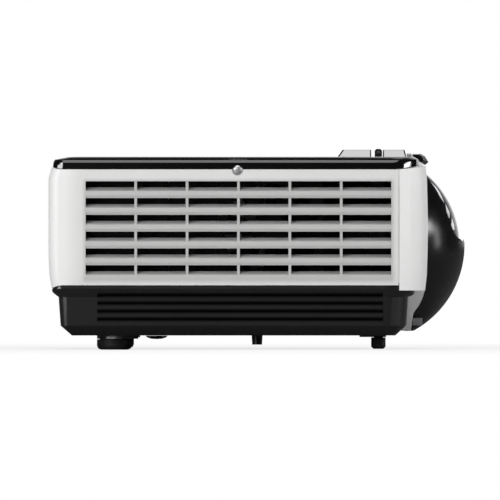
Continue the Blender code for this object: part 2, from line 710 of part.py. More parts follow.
def make_rear_panel():
    low = (REAR_X - OVERRUN, NEAR_Y + WRAP + GAP)
    panel = band("rear_panel", low, (REAR_X + WRAP, FAR_Y - WRAP - GAP))
    holes = bmesh.new()
    inside_x = REAR_X + WALL + OVERRUN
    for name in SOCKET_SIZES:
        low, high = socket_box(name, GAP)
        box((REAR_X - OVERRUN, low[1], low[2]), (inside_x, high[1], high[2]), holes)
    half_width, half_height = INLET_WIDTH / 2 + GAP, INLET_HEIGHT / 2 + GAP
    box((REAR_X - OVERRUN, INLET_Y - half_width, INLET_Z - half_height),
        (inside_x, INLET_Y + half_width, INLET_Z + half_height), holes)
    middle = (SEAM_LOW_Z + SEAM_HIGH_Z) / 2
    for row in range(VENT_COUNT):
        z = middle + (row - (VENT_COUNT - 1) / 2) * VENT_PITCH
        vent = rounded((VENT_Y - VENT_WIDTH / 2, z - VENT_HEIGHT / 2),
                       (VENT_Y + VENT_WIDTH / 2, z + VENT_HEIGHT / 2), VENT_HEIGHT / 3, 2)
        prism(vent, "X", REAR_X - OVERRUN, inside_x, holes)
    box((REAR_X - OVERRUN, LOCK_SLOT_Y - LOCK_SLOT_WIDTH / 2, middle - LOCK_SLOT_HEIGHT / 2),
        (inside_x, LOCK_SLOT_Y + LOCK_SLOT_WIDTH / 2, middle + LOCK_SLOT_HEIGHT / 2), holes)
    cut(panel, holes)
    return panel


# Front bezel: the band's front with its apron, the ledge under the lid and the lip under the visor
APRON_DROP = 0.0255
APRON_TUCK = 0.0093
APRON_SHARES = ((1.0, 1.0), (0.62, 0.87), (0.45, 0.54), (0.294, 0.32), (0.114, 0.18))
APRON_SIDE_INSET = 0.0008
APRON_MARGIN = 0.0090
LIP_RISE = 0.0053
LIP_SETBACK = 0.0052
LIP_SPARE = 0.0070
LIP_END_RUN = 0.0060
LEDGE_WIDTH = 0.0010
LEDGE_THICKNESS = 0.0012
DOME_TOP_RISE = 0.0407
DOME_SIDES = 36
DOME_RINGS = 18
DOME_TOP_Z = LENS_Z + DOME_TOP_RISE
DOME_BACK_X = BEZEL_SEAM_X + 5 * GAP
APRON_LOW_Z = SEAM_LOW_Z - APRON_DROP
INTAKE_COUNT = 6
INTAKE_PLACE_SHARE = 0.2787
INTAKE_WIDTH_SHARE = 0.2648
INTAKE_Y = BODY_WIDTH * INTAKE_PLACE_SHARE
INTAKE_WIDTH = BODY_WIDTH * INTAKE_WIDTH_SHARE
INTAKE_HEIGHT = 0.0028
INTAKE_PITCH = 0.0074
FRONT_SENSOR_SHARE = 0.0836
FRONT_SENSOR_Y = BODY_WIDTH * FRONT_SENSOR_SHARE
FRONT_SENSOR_RADIUS = 0.0050


def take_shape(piece):
    """The mesh of a temporary piece as a bmesh; the piece goes."""
    bm = bmesh.new()
    bm.from_mesh(piece.data)
    bpy.data.objects.remove(piece)
    return bm


def dome_space(radius, top_z):
    """A ball on the lens centre, cut flat at the bezel's seam and at the top."""
    shape = solid("ball", ball(radius, LENS_CENTRE, DOME_SIDES, DOME_RINGS), GLOSS_BLACK, 0.1)
    low = (BEZEL_SEAM_X, LENS_Y - 2 * radius, LENS_Z - 2 * radius)
    keep(shape, box(low, (DOME_X + 2 * radius, LENS_Y + 2 * radius, top_z)))
    return take_shape(shape)


def bezel_hollow():
    """The space inside the bezel's wall, with a ledge left at the top for the lid."""
    rings = [band_ring(*shares, WALL) for shares in BAND_SHARES[:-1]]
    inside = cover_ring(0.0, 0.0, LEDGE_WIDTH)
    rings.append([(x, y, z - LEDGE_THICKNESS) for x, y, z in inside])
    rings.append([(x, y, z + COVER_HEIGHT / 2) for x, y, z in inside])
    return fill_between(bmesh.new(), rings)


def bezel_lip():
    """The rise under the visor: a slope at the front that runs out at both ends."""
    front_x = FRONT_X - BAND_CROWN * BAND_SHARES[-1][2] - GAP
    crest_x = FRONT_X - LIP_SETBACK
    rear_x = crest_x - LIP_SETBACK
    root_z = SEAM_HIGH_Z + SEAM_FRONT_RISE - GAP
    half = VISOR_HALF_WIDTH + LIP_SPARE
    rings = []
    for offset, crest_z in ((-half, root_z), (LIP_END_RUN - half, SEAM_HIGH_Z + LIP_RISE),
                            (half - LIP_END_RUN, SEAM_HIGH_Z + LIP_RISE), (half, root_z)):
        profile = ((rear_x, SEAM_HIGH_Z), (front_x, SEAM_HIGH_Z), (front_x, root_z),
                   (crest_x, crest_z), (rear_x, crest_z))
        rings.append([(x, LENS_Y + offset, z) for x, z in profile])
    return fill_between(bmesh.new(), rings)


def make_front_bezel():
    rings = []
    for drop, tuck in APRON_SHARES:
        rings.append(plan_ring(WALL, APRON_TUCK * tuck, APRON_SIDE_INSET, SEAM_LOW_Z - APRON_DROP * drop))
    rings += [band_ring(*shares, 0.0) for shares in BAND_SHARES]
    rings.append(cover_ring(0.0, 0.0, -GAP / 2))
    bezel = solid("front_bezel", fill_between(bmesh.new(), rings), WHITE, 0.38)
    low = (BEZEL_SEAM_X + GAP, NEAR_Y - OVERRUN, 0.0)
    keep(bezel, box(low, (DOME_FRONT_X, FAR_Y + OVERRUN, 2 * DECK_Z)))
    cut(bezel, bezel_hollow())
    cut(bezel, base_envelope(GAP, SEAM_FRONT_DROP + OVERRUN))
    reach = DOME_RADIUS + APRON_MARGIN
    flange_z = SEAM_LOW_Z - APRON_DROP * APRON_SHARES[-1][0]
    edge = math.asin((LENS_Z - flange_z) / reach) / (2 * math.pi)
    low_z = APRON_LOW_Z - OVERRUN
    floor = math.asin((LENS_Z - low_z) / reach) / (2 * math.pi) if LENS_Z - low_z < reach else 0.25
    aprons = bmesh.new()
    near = [(NEAR_Y - OVERRUN, low_z), (NEAR_Y - OVERRUN, flange_z)]
    near += arc((LENS_Y, LENS_Z), reach, 0.5 + edge, 0.5 + floor, 8)
    far = [(FAR_Y + OVERRUN, flange_z), (FAR_Y + OVERRUN, low_z)]
    far += arc((LENS_Y, LENS_Z), reach, 1.0 - floor, 1.0 - edge, 8)
    for outline in (near, far):
        prism(outline, "X", BEZEL_SEAM_X - OVERRUN, DOME_FRONT_X, aprons)
    cut(bezel, aprons)
    cut(bezel, dome_space(DOME_RADIUS + GAP, DOME_TOP_Z + GAP))
    slots = bmesh.new()
    middle = (SEAM_LOW_Z + SEAM_HIGH_Z) / 2
    inside_x = FRONT_X - BAND_CROWN - WALL - OVERRUN
    for row in range(INTAKE_COUNT):
        z = middle + (row - (INTAKE_COUNT - 1) / 2) * INTAKE_PITCH
        slot = rounded((INTAKE_Y - INTAKE_WIDTH / 2, z - INTAKE_HEIGHT / 2),
                       (INTAKE_Y + INTAKE_WIDTH / 2, z + INTAKE_HEIGHT / 2), INTAKE_HEIGHT / 3, 2)
        prism(slot, "X", inside_x, FRONT_X + OVERRUN, slots)
    rod("X", (FRONT_SENSOR_Y, middle), FRONT_SENSOR_RADIUS + GAP, inside_x, FRONT_X + OVERRUN, 20, slots)
    cut(bezel, slots)
    join(bezel, bezel_lip())
    cut(bezel, cover_envelope(GAP))
    return bezel


def make_front_sensor():
    middle = (SEAM_LOW_Z + SEAM_HIGH_Z) / 2
    face = FRONT_X - GAP
    back = FRONT_X - WALL - OVERRUN
    radius = FRONT_SENSOR_RADIUS
    profile = ((0.0, back), (radius, back), (radius, face - OVERRUN), (radius / 2, face), (0.0, face))
    window = turned(profile, "X", (FRONT_SENSOR_Y, middle), 20)
    return solid("front_infrared_window", window, SENSOR_RED, 0.1)


WINDOW_HALF_WIDTH = 0.0260
WINDOW_SILL_RISE = 0.0034
WINDOW_CORNER = 0.0095
GLASS_MARGIN = 0.0050
GLASS_WALL = 0.0020
GLASS_TOP_CLEARANCE = 0.0006


def window_prism(margin, top_z):
    low = (LENS_Y - WINDOW_HALF_WIDTH - margin, LENS_Z + WINDOW_SILL_RISE - margin)
    high = (LENS_Y + WINDOW_HALF_WIDTH + margin, top_z + WINDOW_CORNER)
    return prism(rounded(low, high, WINDOW_CORNER, 5), "X", DOME_X, DOME_FRONT_X + OVERRUN)


def make_lens_dome():
    dome = solid("lens_dome", ball(DOME_RADIUS, LENS_CENTRE, DOME_SIDES, DOME_RINGS), GLOSS_BLACK, 0.08)
    cut(dome, ball(DOME_RADIUS - DOME_WALL, LENS_CENTRE, DOME_SIDES, DOME_RINGS))
    wide = 2 * DOME_RADIUS
    keep(dome, box((DOME_BACK_X, LENS_Y - wide, APRON_LOW_Z), (DOME_X + wide, LENS_Y + wide, DOME_TOP_Z)))
    cut(dome, base_envelope(GAP, SEAM_FRONT_DROP + OVERRUN))
    cut(dome, window_prism(0.0, DOME_TOP_Z + OVERRUN))
    return dome


def make_dome_glass():
    radius = DOME_RADIUS - DOME_WALL - GAP
    glass = ball(radius, LENS_CENTRE, DOME_SIDES, DOME_RINGS)
    glass = solid("dome_glass", glass, TINTED_GLASS, 0.03)
    cut(glass, ball(radius - GLASS_WALL, LENS_CENTRE, DOME_SIDES // 2 + 6, DOME_RINGS // 2 + 3))
    keep(glass, window_prism(GLASS_MARGIN, DOME_TOP_Z))
    wide = 2 * DOME_RADIUS
    top_z = DOME_TOP_Z - GLASS_TOP_CLEARANCE
    keep(glass, box((DOME_BACK_X, LENS_Y - wide, 0.0), (DOME_X + wide, LENS_Y + wide, top_z)))
    return glass


# Visor: a bent lip over the window that sits on the bezel's upper lip
VISOR_SHARES = (
    (0.0, 1.0),
    (0.50, 1.0),
    (0.76, 0.78),
    (1.0, 0.25),
    (0.79, 0.0),
    (0.32, 0.50),
    (0.14, 0.66),
    (0.0, 0.78),
)
VISOR_LENGTH = 0.0090
VISOR_HEIGHT = 0.0063
VISOR_LOW_RISE = 0.0028
VISOR_HALF_WIDTH = 0.0330
VISOR_TAPER_SHARE = 0.72
TOP_SENSOR_WIDTH = 0.0100
TOP_SENSOR_RISE = 0.0022


def make_visor():
    low_z = SEAM_HIGH_Z + VISOR_LOW_RISE
    root = VISOR_SHARES[-1][1]
    rings = []
    stations = ((-1.0, VISOR_TAPER_SHARE), (-0.8, 1.0), (0.8, 1.0), (1.0, VISOR_TAPER_SHARE))
    for side_share, fullness in stations:
        y = LENS_Y + VISOR_HALF_WIDTH * side_share
        rings.append([
            (VISOR_REAR_X + VISOR_LENGTH * across * fullness, y,
             low_z + VISOR_HEIGHT * (root + (up - root) * fullness))
            for across, up in VISOR_SHARES
        ])
    visor = solid("lens_visor", fill_between(bmesh.new(), rings), GLOSS_BLACK, 0.15)
    return visor


# Lens barrel with its lenses, and the focus ring that turns on it
BARREL_REAR_SHARE = 0.0214
BARREL_REAR_X = TOTAL_LENGTH * BARREL_REAR_SHARE
BARREL_RADIUS = 0.0340
BARREL_FRONT_SHARE = 0.406
BARREL_BORE = 0.0305
BARREL_BORE_DEPTH = 0.0300
BARREL_FLANGE_RADIUS = 0.0400
BARREL_FLANGE = 0.0040
SHOULDER_RADIUS = 0.0358
SHOULDER_WIDTH = 0.0020
REAR_BORE = 0.0200
FRONT_LENS_SEAT = 0.0060
FRONT_LENS_CURVE = 0.0360
INNER_LENS_SETBACK = 0.0040
INNER_LENS_THICKNESS = 0.0080
BARREL_SIDES = 20
LENS_LINE = (LENS_Y, LENS_Z)
BARREL_FRONT_X = DOME_X + DOME_RADIUS * BARREL_FRONT_SHARE
RING_START_X = LEVER_X - FOCUS_RING_LENGTH / 2
RING_END_X = LEVER_X + FOCUS_RING_LENGTH / 2


def make_lens_barrel():
    flange_x = BARREL_REAR_X + BARREL_FLANGE
    bore_x = BARREL_FRONT_X - BARREL_BORE_DEPTH
    profile = [
        (REAR_BORE, BARREL_REAR_X),
        (BARREL_FLANGE_RADIUS, BARREL_REAR_X),
        (BARREL_FLANGE_RADIUS, flange_x),
        (BARREL_RADIUS, flange_x),
    ]
    for near_x, far_x in ((RING_START_X - GAP - SHOULDER_WIDTH, RING_START_X - GAP),
                          (RING_END_X + GAP, RING_END_X + GAP + SHOULDER_WIDTH)):
        profile += [(BARREL_RADIUS, near_x), (SHOULDER_RADIUS, near_x),
                    (SHOULDER_RADIUS, far_x), (BARREL_RADIUS, far_x)]
    profile += [(BARREL_RADIUS, BARREL_FRONT_X), (BARREL_BORE, BARREL_FRONT_X),
                (BARREL_BORE, bore_x), (REAR_BORE, bore_x)]
    return solid("lens_barrel", turned(profile, "X", LENS_LINE, BARREL_SIDES), SATIN_BLACK, 0.35)


def lens(name, radius, rear_x, front_x, curve):
    """A round glass with a flat back and a domed front."""
    half = math.asin(radius / curve)
    top = front_x - curve * math.cos(half)
    steps = 4
    profile = [(0.0, rear_x), (radius, rear_x)]
    for step in range(steps + 1):
        angle = half * (1 - step / steps)
        profile.append((curve * math.sin(angle), top + curve * math.cos(angle)))
    profile[-1] = (0.0, profile[-1][1])
    return solid(name, turned(profile, "X", LENS_LINE, BARREL_SIDES), LENS_GLASS, 0.02)


def make_lenses():
    rear = BARREL_FRONT_X - FRONT_LENS_SEAT
    lens("front_lens", BARREL_BORE - GAP, rear, BARREL_FRONT_X, FRONT_LENS_CURVE)
    rear = BARREL_REAR_X + INNER_LENS_SETBACK
    lens("inner_lens", REAR_BORE - GAP, rear, rear + INNER_LENS_THICKNESS, FRONT_LENS_CURVE)


FOCUS_GRIP_SIDES = 28


def make_focus_ring():
    inside = BARREL_RADIUS + GAP
    profile = [(inside, RING_START_X), (FOCUS_RING_RADIUS, RING_START_X),
               (FOCUS_RING_RADIUS, RING_END_X), (inside, RING_END_X)]
    ring = solid("focus_ring", turned(profile, "X", LENS_LINE, FOCUS_GRIP_SIDES), SATIN_BLACK, 0.3)
    half = LEVER_LENGTH / 2
    root = LENS_Z + (inside + FOCUS_RING_RADIUS) / 2
    tip = LENS_Z + LEVER_REACH
    outline = [(LENS_Y - LEVER_WIDTH / 2, root), (LENS_Y + LEVER_WIDTH / 2, root)]
    outline += arc((LENS_Y, tip - LEVER_WIDTH / 2), LEVER_WIDTH / 2, 0.0, 0.5, 8)
    join(ring, prism(outline, "X", LEVER_X - half, LEVER_X + half))
    move_origin(ring, (LEVER_X, LENS_Y, LENS_Z))
    return ring


# Keypad: a plate let into the lid, nine buttons and the board under them
BUTTON_TRAVEL = 0.0008
BUTTON_PROUD = 0.0004
BUTTON_LIP = 0.0008
BUTTON_LIP_HEIGHT = 0.0012
BUTTON_RADIUS = 0.0046
BUTTON_LENGTH = 0.0074
BUTTON_WIDTH = 0.0116
BUTTON_CORNER = 0.0022
BUTTON_SHARES = {
    "up_button": (0.30, -0.22),
    "down_button": (-0.30, -0.22),
    "left_button": (0.0, -0.06),
    "right_button": (0.0, -0.38),
    "enter_button": (0.0, -0.22),
    "power_button": (0.22, 0.36),
    "auto_button": (-0.22, 0.36),
    "source_button": (0.22, 0.15),
    "menu_button": (-0.22, 0.15),
}
ROUND_BUTTONS = ("power_button", "enter_button")
KEY_BOARD_THICKNESS = 0.0012
PLATE_TOP_Z = DECK_Z - KEYPAD_SINK
PLATE_LOW_Z = PLATE_TOP_Z - KEYPAD_PLATE


def button_place(name):
    along, across = BUTTON_SHARES[name]
    return KEYPAD_X + along * KEYPAD_LENGTH, KEYPAD_Y + across * KEYPAD_WIDTH


def button_outline(name, spare):
    x, y = button_place(name)
    if name in ROUND_BUTTONS:
        return disc_outline((x, y), BUTTON_RADIUS + spare, 14)
    half_length, half_width = BUTTON_LENGTH / 2 + spare, BUTTON_WIDTH / 2 + spare
    low, high = (x - half_length, y - half_width), (x + half_length, y + half_width)
    return rounded(low, high, BUTTON_CORNER + spare)


def make_keypad():
    plate = prism(keypad_outline(0.0), "Z", PLATE_LOW_Z, PLATE_TOP_Z)
    plate = solid("keypad_plate", plate, GLOSS_BLACK, 0.2)
    holes = bmesh.new()
    for name in BUTTON_SHARES:
        prism(button_outline(name, GAP), "Z", PLATE_LOW_Z - OVERRUN, PLATE_TOP_Z + OVERRUN, holes)
    cut(plate, holes)
    lip_top = PLATE_LOW_Z - GAP
    lip_low = lip_top - BUTTON_LIP_HEIGHT
    for name in BUTTON_SHARES:
        levels = ((BUTTON_LIP, lip_low), (BUTTON_LIP, lip_top), (0.0, lip_top), (0.0, PLATE_TOP_Z),
                  (-BUTTON_PROUD, PLATE_TOP_Z + BUTTON_PROUD))
        rings = [[(x, y, z) for x, y in button_outline(name, spare)] for spare, z in levels]
        button = solid(name, fill_between(bmesh.new(), rings), GREY_PLASTIC, 0.4)
        move_origin(button, (*button_place(name), lip_low))
    board_top = lip_low - BUTTON_TRAVEL - GAP
    ledge_low = DECK_Z - COVER_WALL
    board = prism(keypad_outline(0.0), "Z", board_top - KEY_BOARD_THICKNESS, board_top)
    board = solid("key_board", board, BOARD_GREEN, 0.5)
    rim = prism(keypad_outline(0.0), "Z", board_top - OVERRUN / 2, ledge_low - GAP)
    rim = solid("rim", rim, BOARD_GREEN, 0.5)
    cut(rim, prism(keypad_outline(-KEYPAD_LEDGE), "Z", board_top - OVERRUN, DECK_Z))
    join(board, take_shape(rim))


STRIP_FLANGE = 0.0010
STRIP_FLANGE_HEIGHT = 0.0012


def make_status_light_strip():
    low_z = DECK_Z - COVER_WALL - GAP
    levels = ((STRIP_FLANGE, low_z - STRIP_FLANGE_HEIGHT), (STRIP_FLANGE, low_z), (0.0, low_z),
              (0.0, DECK_Z))
    rings = [[(x, y, z) for x, y in lights_outline(spare)] for spare, z in levels]
    return solid("status_light_strip", fill_between(bmesh.new(), rings), LIGHT_GREY, 0.2)


# Feet, bumper and the release button of the front foot
KNUCKLE_SHARE = 0.3
STEM_RADIUS = 0.0030
FRONT_STEM_LENGTH = 0.0050
FRONT_STEM_WIDTH = 0.0160
FRONT_FOOT_ROUNDING = 0.0012
FOOT_GUIDE_WALL = 0.0020
FOOT_GUIDE_HEIGHT = 0.0250
RELEASE_X_PROUD = 0.0010
RELEASE_SHARE = 0.0976
RELEASE_Y = BODY_WIDTH * RELEASE_SHARE
RELEASE_WIDTH = 0.0140
RELEASE_LOW_Z = 0.0190
RELEASE_HEIGHT = 0.0080
RELEASE_LENGTH = 0.0110
RELEASE_ARM = 0.0040


def make_rear_foot(name, side):
    top = BASE_Z - FOOT_BOSS_HEIGHT - GAP
    centre = (FOOT_X, side * FOOT_SPREAD)
    radius, soft = FOOT_RADIUS, FOOT_ROUNDING
    knuckle = soft * KNUCKLE_SHARE
    profile = [(0.0, 0.0), (radius - soft, 0.0), (radius - knuckle, knuckle), (radius, soft),
               (radius, top), (STEM_RADIUS, top), (STEM_RADIUS, top + FOOT_STEM_LENGTH),
               (0.0, top + FOOT_STEM_LENGTH)]
    foot = solid(name, turned(profile, "Z", centre, 20), RUBBER, 0.7)
    move_origin(foot, (*centre, top))
    return foot


def stem_outline(spare):
    half_length, half_width = FRONT_STEM_LENGTH / 2 + spare, FRONT_STEM_WIDTH / 2 + spare
    low, high = (FRONT_FOOT_X - half_length, -half_width), (FRONT_FOOT_X + half_length, half_width)
    return rounded(low, high, FRONT_FOOT_ROUNDING)


def make_front_foot():
    top = BASE_Z - FRONT_PLATE_HEIGHT - GAP
    half_length, half_width = FRONT_FOOT_LENGTH / 2, FRONT_FOOT_WIDTH / 2
    soft = FRONT_FOOT_ROUNDING
    rings = []
    for inset, z in ((soft, 0.0), (0.0, soft), (0.0, top)):
        outline = rounded((FRONT_FOOT_X - half_length + inset, inset - half_width),
                          (FRONT_FOOT_X + half_length - inset, half_width - inset), 2 * soft, 3)
        rings.append([(x, y, z) for x, y in outline])
    foot = solid("front_foot", fill_between(bmesh.new(), rings), RUBBER, 0.6)
    join(foot, prism(stem_outline(0.0), "Z", top - soft, FRONT_FOOT_TOP_Z))
    move_origin(foot, (FRONT_FOOT_X, 0.0, top))
    return foot


def base_front_x(height):
    """Where the base's outer front wall is at a height."""
    height_share = (height - BASE_Z) / BASE_HEIGHT
    (low_tuck, low), (high_tuck, high) = BASE_SHARES[1], BASE_SHARES[2]
    tuck_share = low_tuck + (high_tuck - low_tuck) * (height_share - low) / (high - low)
    return FRONT_X - BASE_FRONT_SETBACK - BASE_TUCK * BASE_FRONT_TUCK_SHARE * tuck_share


def release_outline(spare):
    low = (RELEASE_Y - RELEASE_WIDTH / 2 - spare, RELEASE_LOW_Z - spare)
    high = (RELEASE_Y + RELEASE_WIDTH / 2 + spare, RELEASE_LOW_Z + RELEASE_HEIGHT + spare)
    return rounded(low, high, RELEASE_HEIGHT / 4, 3)


def make_foot_release_button():
    front = base_front_x(RELEASE_LOW_Z) + RELEASE_X_PROUD
    rear = front - RELEASE_LENGTH
    button = solid("foot_release_button", prism(release_outline(0.0), "X", rear, front), SATIN_BLACK, 0.4)
    guide_y = FRONT_STEM_WIDTH / 2 + GAP + FOOT_GUIDE_WALL + GAP
    middle = RELEASE_LOW_Z + RELEASE_HEIGHT / 2
    half = RELEASE_HEIGHT / 4
    join(button, box((rear, guide_y, middle - half), (rear + RELEASE_ARM, RELEASE_Y, middle + half)))
    move_origin(button, (rear, RELEASE_Y, middle))
    return button


def make_rubber_bumper():
    top = BASE_Z - GAP
    low = BASE_Z - BUMPER_DEPTH
    profile = [(0.0, low)]
    profile += [(BUMPER_RADIUS * out, low + BUMPER_DEPTH * up) for out, up in BUMPER_SHARES]
    profile += [(BUMPER_RADIUS, top), (0.0, top)]
    place_y = -FOOT_SPREAD * BUMPER_PLACE_SHARE
    return solid("rubber_bumper", turned(profile, "Z", (BUMPER_X, place_y), 20), RUBBER, 0.8)


# Inside: boards and optics stand on posts that rise from the base's floor
ENGINE_REAR_SHARE = -0.1414
ENGINE_REAR_X = TOTAL_LENGTH * ENGINE_REAR_SHARE
ENGINE_SIDE_SETBACK = 0.0355
ENGINE_NEAR_Y = NEAR_Y + ENGINE_SIDE_SETBACK
ENGINE_OVERHANG = 0.0350
ENGINE_FAR_Y = LENS_Y + ENGINE_OVERHANG
ENGINE_LOW_Z = 0.0180
ENGINE_HIGH_Z = 0.0940
ENGINE_SHOULDER = 0.0220
ENGINE_NECK_LENGTH = 0.0130
ENGINE_NECK_X = BARREL_REAR_X - ENGINE_NECK_LENGTH
BEAM_SIDE_SETBACK = 0.0435
BEAM_Y = NEAR_Y + BEAM_SIDE_SETBACK
BEAM_Z = 0.0665
BEAM_RADIUS = 0.0070
WHEEL_SHARE = 0.436
WHEEL_RADIUS = (LENS_Y - BEAM_Y) * WHEEL_SHARE
WHEEL_HUB = 0.0100
WHEEL_THICKNESS = 0.0012
WHEEL_DROP_SHARE = 0.708
MOTOR_RADIUS = 0.0095
MOTOR_LENGTH = 0.0090
LAMP_STANDOFF = 0.0170
LAMP_FRONT_X = ENGINE_REAR_X - LAMP_STANDOFF
LAMP_LENGTH_SHARE = 0.2249
LAMP_LENGTH = TOTAL_LENGTH * LAMP_LENGTH_SHARE
LAMP_HALF_WIDTH = 0.0310
LAMP_LOW_Z = 0.0368
LAMP_HIGH_Z = 0.0962
LAMP_WALL = 0.0030
LAMP_BORE = 0.0260
BOWL_SHARES = (0.0, 0.15, 0.35, 0.6, 0.85, 1.0)
REFLECTOR_WALL = 0.0018
REFLECTOR_NECK = 0.0060
LAMP_HANDLE_REACH = 0.0042
LAMP_HANDLE_HALF = 0.0170
LAMP_HANDLE_BAR = 0.0030
SHELF_WALL = 0.0030


def make_optical_engine():
    """The casting: deep behind the lens, with a shoulder that takes the lamp's beam."""
    front = BARREL_REAR_X - GAP
    outline = (
        (ENGINE_REAR_X, ENGINE_NEAR_Y),
        (ENGINE_NECK_X, ENGINE_NEAR_Y),
        (ENGINE_NECK_X + ENGINE_SHOULDER / 4, ENGINE_NEAR_Y + ENGINE_SHOULDER / 2),
        (front, ENGINE_NEAR_Y + ENGINE_SHOULDER),
        (front, ENGINE_FAR_Y),
        (ENGINE_REAR_X, ENGINE_FAR_Y),
    )
    engine = prism(outline, "Z", ENGINE_LOW_Z, ENGINE_HIGH_Z)
    engine = solid("optical_engine", engine, ALUMINIUM, 0.45, 0.9)
    cut(engine, rod("X", (BEAM_Y, BEAM_Z), BEAM_RADIUS, ENGINE_REAR_X - OVERRUN, ENGINE_NECK_X, 20))
    for y in (ENGINE_NEAR_Y + ENGINE_SHOULDER, ENGINE_FAR_Y - SHELF_WALL):
        join(engine, box((ENGINE_REAR_X + SHELF_WALL, y - SHELF_WALL, FLOOR_Z + GAP),
                         (BARREL_REAR_X - SHELF_WALL, y, ENGINE_LOW_Z + SHELF_WALL)))
    return engine


def make_colour_wheel():
    motor_front = ENGINE_REAR_X - GAP
    motor_rear = motor_front - MOTOR_LENGTH
    centre = (BEAM_Y, BEAM_Z - WHEEL_RADIUS * WHEEL_DROP_SHARE)
    motor = rod("X", centre, MOTOR_RADIUS, motor_rear, motor_front, 24)
    solid("colour_wheel_motor", motor, STEEL, 0.3, 1.0)
    front = motor_rear - GAP
    rear = front - WHEEL_THICKNESS
    profile = ((0.0, rear - WHEEL_THICKNESS), (WHEEL_HUB, rear - WHEEL_THICKNESS), (WHEEL_HUB, rear),
               (WHEEL_RADIUS, rear), (WHEEL_RADIUS, front), (0.0, front))
    wheel = solid("colour_wheel", turned(profile, "X", centre, 24), FILTER_GLASS, 0.1)
    move_origin(wheel, (rear, *centre))


def make_lamp():
    rear = LAMP_FRONT_X - LAMP_LENGTH
    near = BEAM_Y - LAMP_HALF_WIDTH
    cage = box((rear, near, LAMP_LOW_Z), (LAMP_FRONT_X, BEAM_Y + LAMP_HALF_WIDTH, LAMP_HIGH_Z))
    cage = solid("lamp_cage", cage, SATIN_BLACK, 0.5)
    axis = (BEAM_Y, BEAM_Z)
    cut(cage, rod("X", axis, LAMP_BORE, rear + LAMP_WALL, LAMP_FRONT_X + OVERRUN, 24))
    grip = near - LAMP_HANDLE_REACH
    middle = (rear + LAMP_FRONT_X) / 2
    outer, inner = LAMP_HANDLE_HALF, LAMP_HANDLE_HALF - LAMP_HANDLE_BAR
    handle = ((middle - outer, near + OVERRUN), (middle - outer, grip), (middle + outer, grip),
              (middle + outer, near + OVERRUN), (middle + inner, near + OVERRUN),
              (middle + inner, grip + LAMP_HANDLE_BAR), (middle - inner, grip + LAMP_HANDLE_BAR),
              (middle - inner, near + OVERRUN))
    join(cage, prism(handle, "Z", BEAM_Z - LAMP_HANDLE_BAR, BEAM_Z + LAMP_HANDLE_BAR))
    radius = LAMP_BORE - GAP
    back = rear + LAMP_WALL + GAP
    depth = LAMP_FRONT_X - OVERRUN - back
    bowl = []
    for share in BOWL_SHARES:
        bowl.append((REFLECTOR_NECK + (radius - REFLECTOR_NECK) * math.sqrt(share), back + depth * share))
    inside = [(r - REFLECTOR_WALL, x + REFLECTOR_WALL) for r, x in reversed(bowl[1:])]
    inside[0] = (inside[0][0], bowl[-1][1])
    profile = [(0.0, back)] + bowl + inside + [(0.0, back + 2 * REFLECTOR_WALL)]
    solid("lamp_reflector", turned(profile, "X", axis, 16), ALUMINIUM, 0.1, 1.0)


# Cooling: an axial fan behind the louvres and a blower by the far intake
FAN_LEAD = 0.0580
FAN_X = LAMP_FRONT_X + FAN_LEAD
FAN_Z = 0.0660
FAN_SIZE = 0.0580
FAN_CORNER = 0.0040
FAN_DEPTH = 0.0150
FAN_NEAR_Y = EAR_Y + SCREW_LENGTH + GAP
FAN_RIM = 0.0020
FAN_BORE = FAN_SIZE / 2 - FAN_RIM
FAN_TIP_GAP = 0.0008
FAN_HUB_SHARE = 0.37
FAN_HUB = FAN_BORE * FAN_HUB_SHARE
FAN_BLADES = 7
FAN_BLADE_TURN = 0.075
FAN_BLADE_THICKNESS = 0.0010
FAN_SPOKE = 0.0025
FAN_MOUNT = 0.0030


def fan_blade(turn, start_y, end_y):
    """A blade that twists as it runs along the fan's axis."""
    rings = []
    for radius in (FAN_HUB - OVERRUN, FAN_BORE - FAN_TIP_GAP):
        ring = []
        for y, ahead in ((start_y, 0.0), (end_y, FAN_BLADE_TURN)):
            for edge in (0.0, 1.0) if y == start_y else (1.0, 0.0):
                lead = edge * FAN_BLADE_THICKNESS / (2 * math.pi * radius)
                angle = 2 * math.pi * (turn + ahead + lead)
                ring.append((FAN_X + radius * math.cos(angle), y, FAN_Z + radius * math.sin(angle)))
        rings.append(ring)
    return fill_between(bmesh.new(), rings)


def make_exhaust_fan():
    half = FAN_SIZE / 2
    far = FAN_NEAR_Y + FAN_DEPTH
    square = rounded((FAN_X - half, FAN_Z - half), (FAN_X + half, FAN_Z + half), FAN_CORNER)
    frame = solid("exhaust_fan_frame", prism(square, "Y", FAN_NEAR_Y, far), SATIN_BLACK, 0.5)
    centre = (FAN_X, FAN_Z)
    cut(frame, rod("Y", centre, FAN_BORE, FAN_NEAR_Y - OVERRUN, far + OVERRUN, 28))
    spokes = box((FAN_X - FAN_BORE - OVERRUN, far - FAN_SPOKE, FAN_Z - FAN_SPOKE / 2),
                 (FAN_X + FAN_BORE + OVERRUN, far - FAN_SPOKE / 8, FAN_Z + FAN_SPOKE / 2))
    join(frame, spokes)
    upright = box((FAN_X - FAN_SPOKE / 2, far - FAN_SPOKE, FAN_Z - FAN_BORE - OVERRUN),
                  (FAN_X + FAN_SPOKE / 2, far - FAN_SPOKE / 8, FAN_Z + FAN_BORE + OVERRUN))
    join(frame, upright)
    join(frame, rod("Y", centre, FAN_HUB, far - FAN_MOUNT, far, 20))
    hub_far = far - FAN_MOUNT - GAP
    hub = rod("Y", centre, FAN_HUB, FAN_NEAR_Y + FAN_MOUNT, hub_far, 20)
    rotor = solid("exhaust_fan_rotor", hub, SATIN_BLACK, 0.45)
    for blade in range(FAN_BLADES):
        join(rotor, fan_blade(blade / FAN_BLADES, FAN_NEAR_Y + FAN_MOUNT + GAP, hub_far - GAP))
    move_origin(rotor, (FAN_X, FAN_NEAR_Y + FAN_DEPTH / 2, FAN_Z))


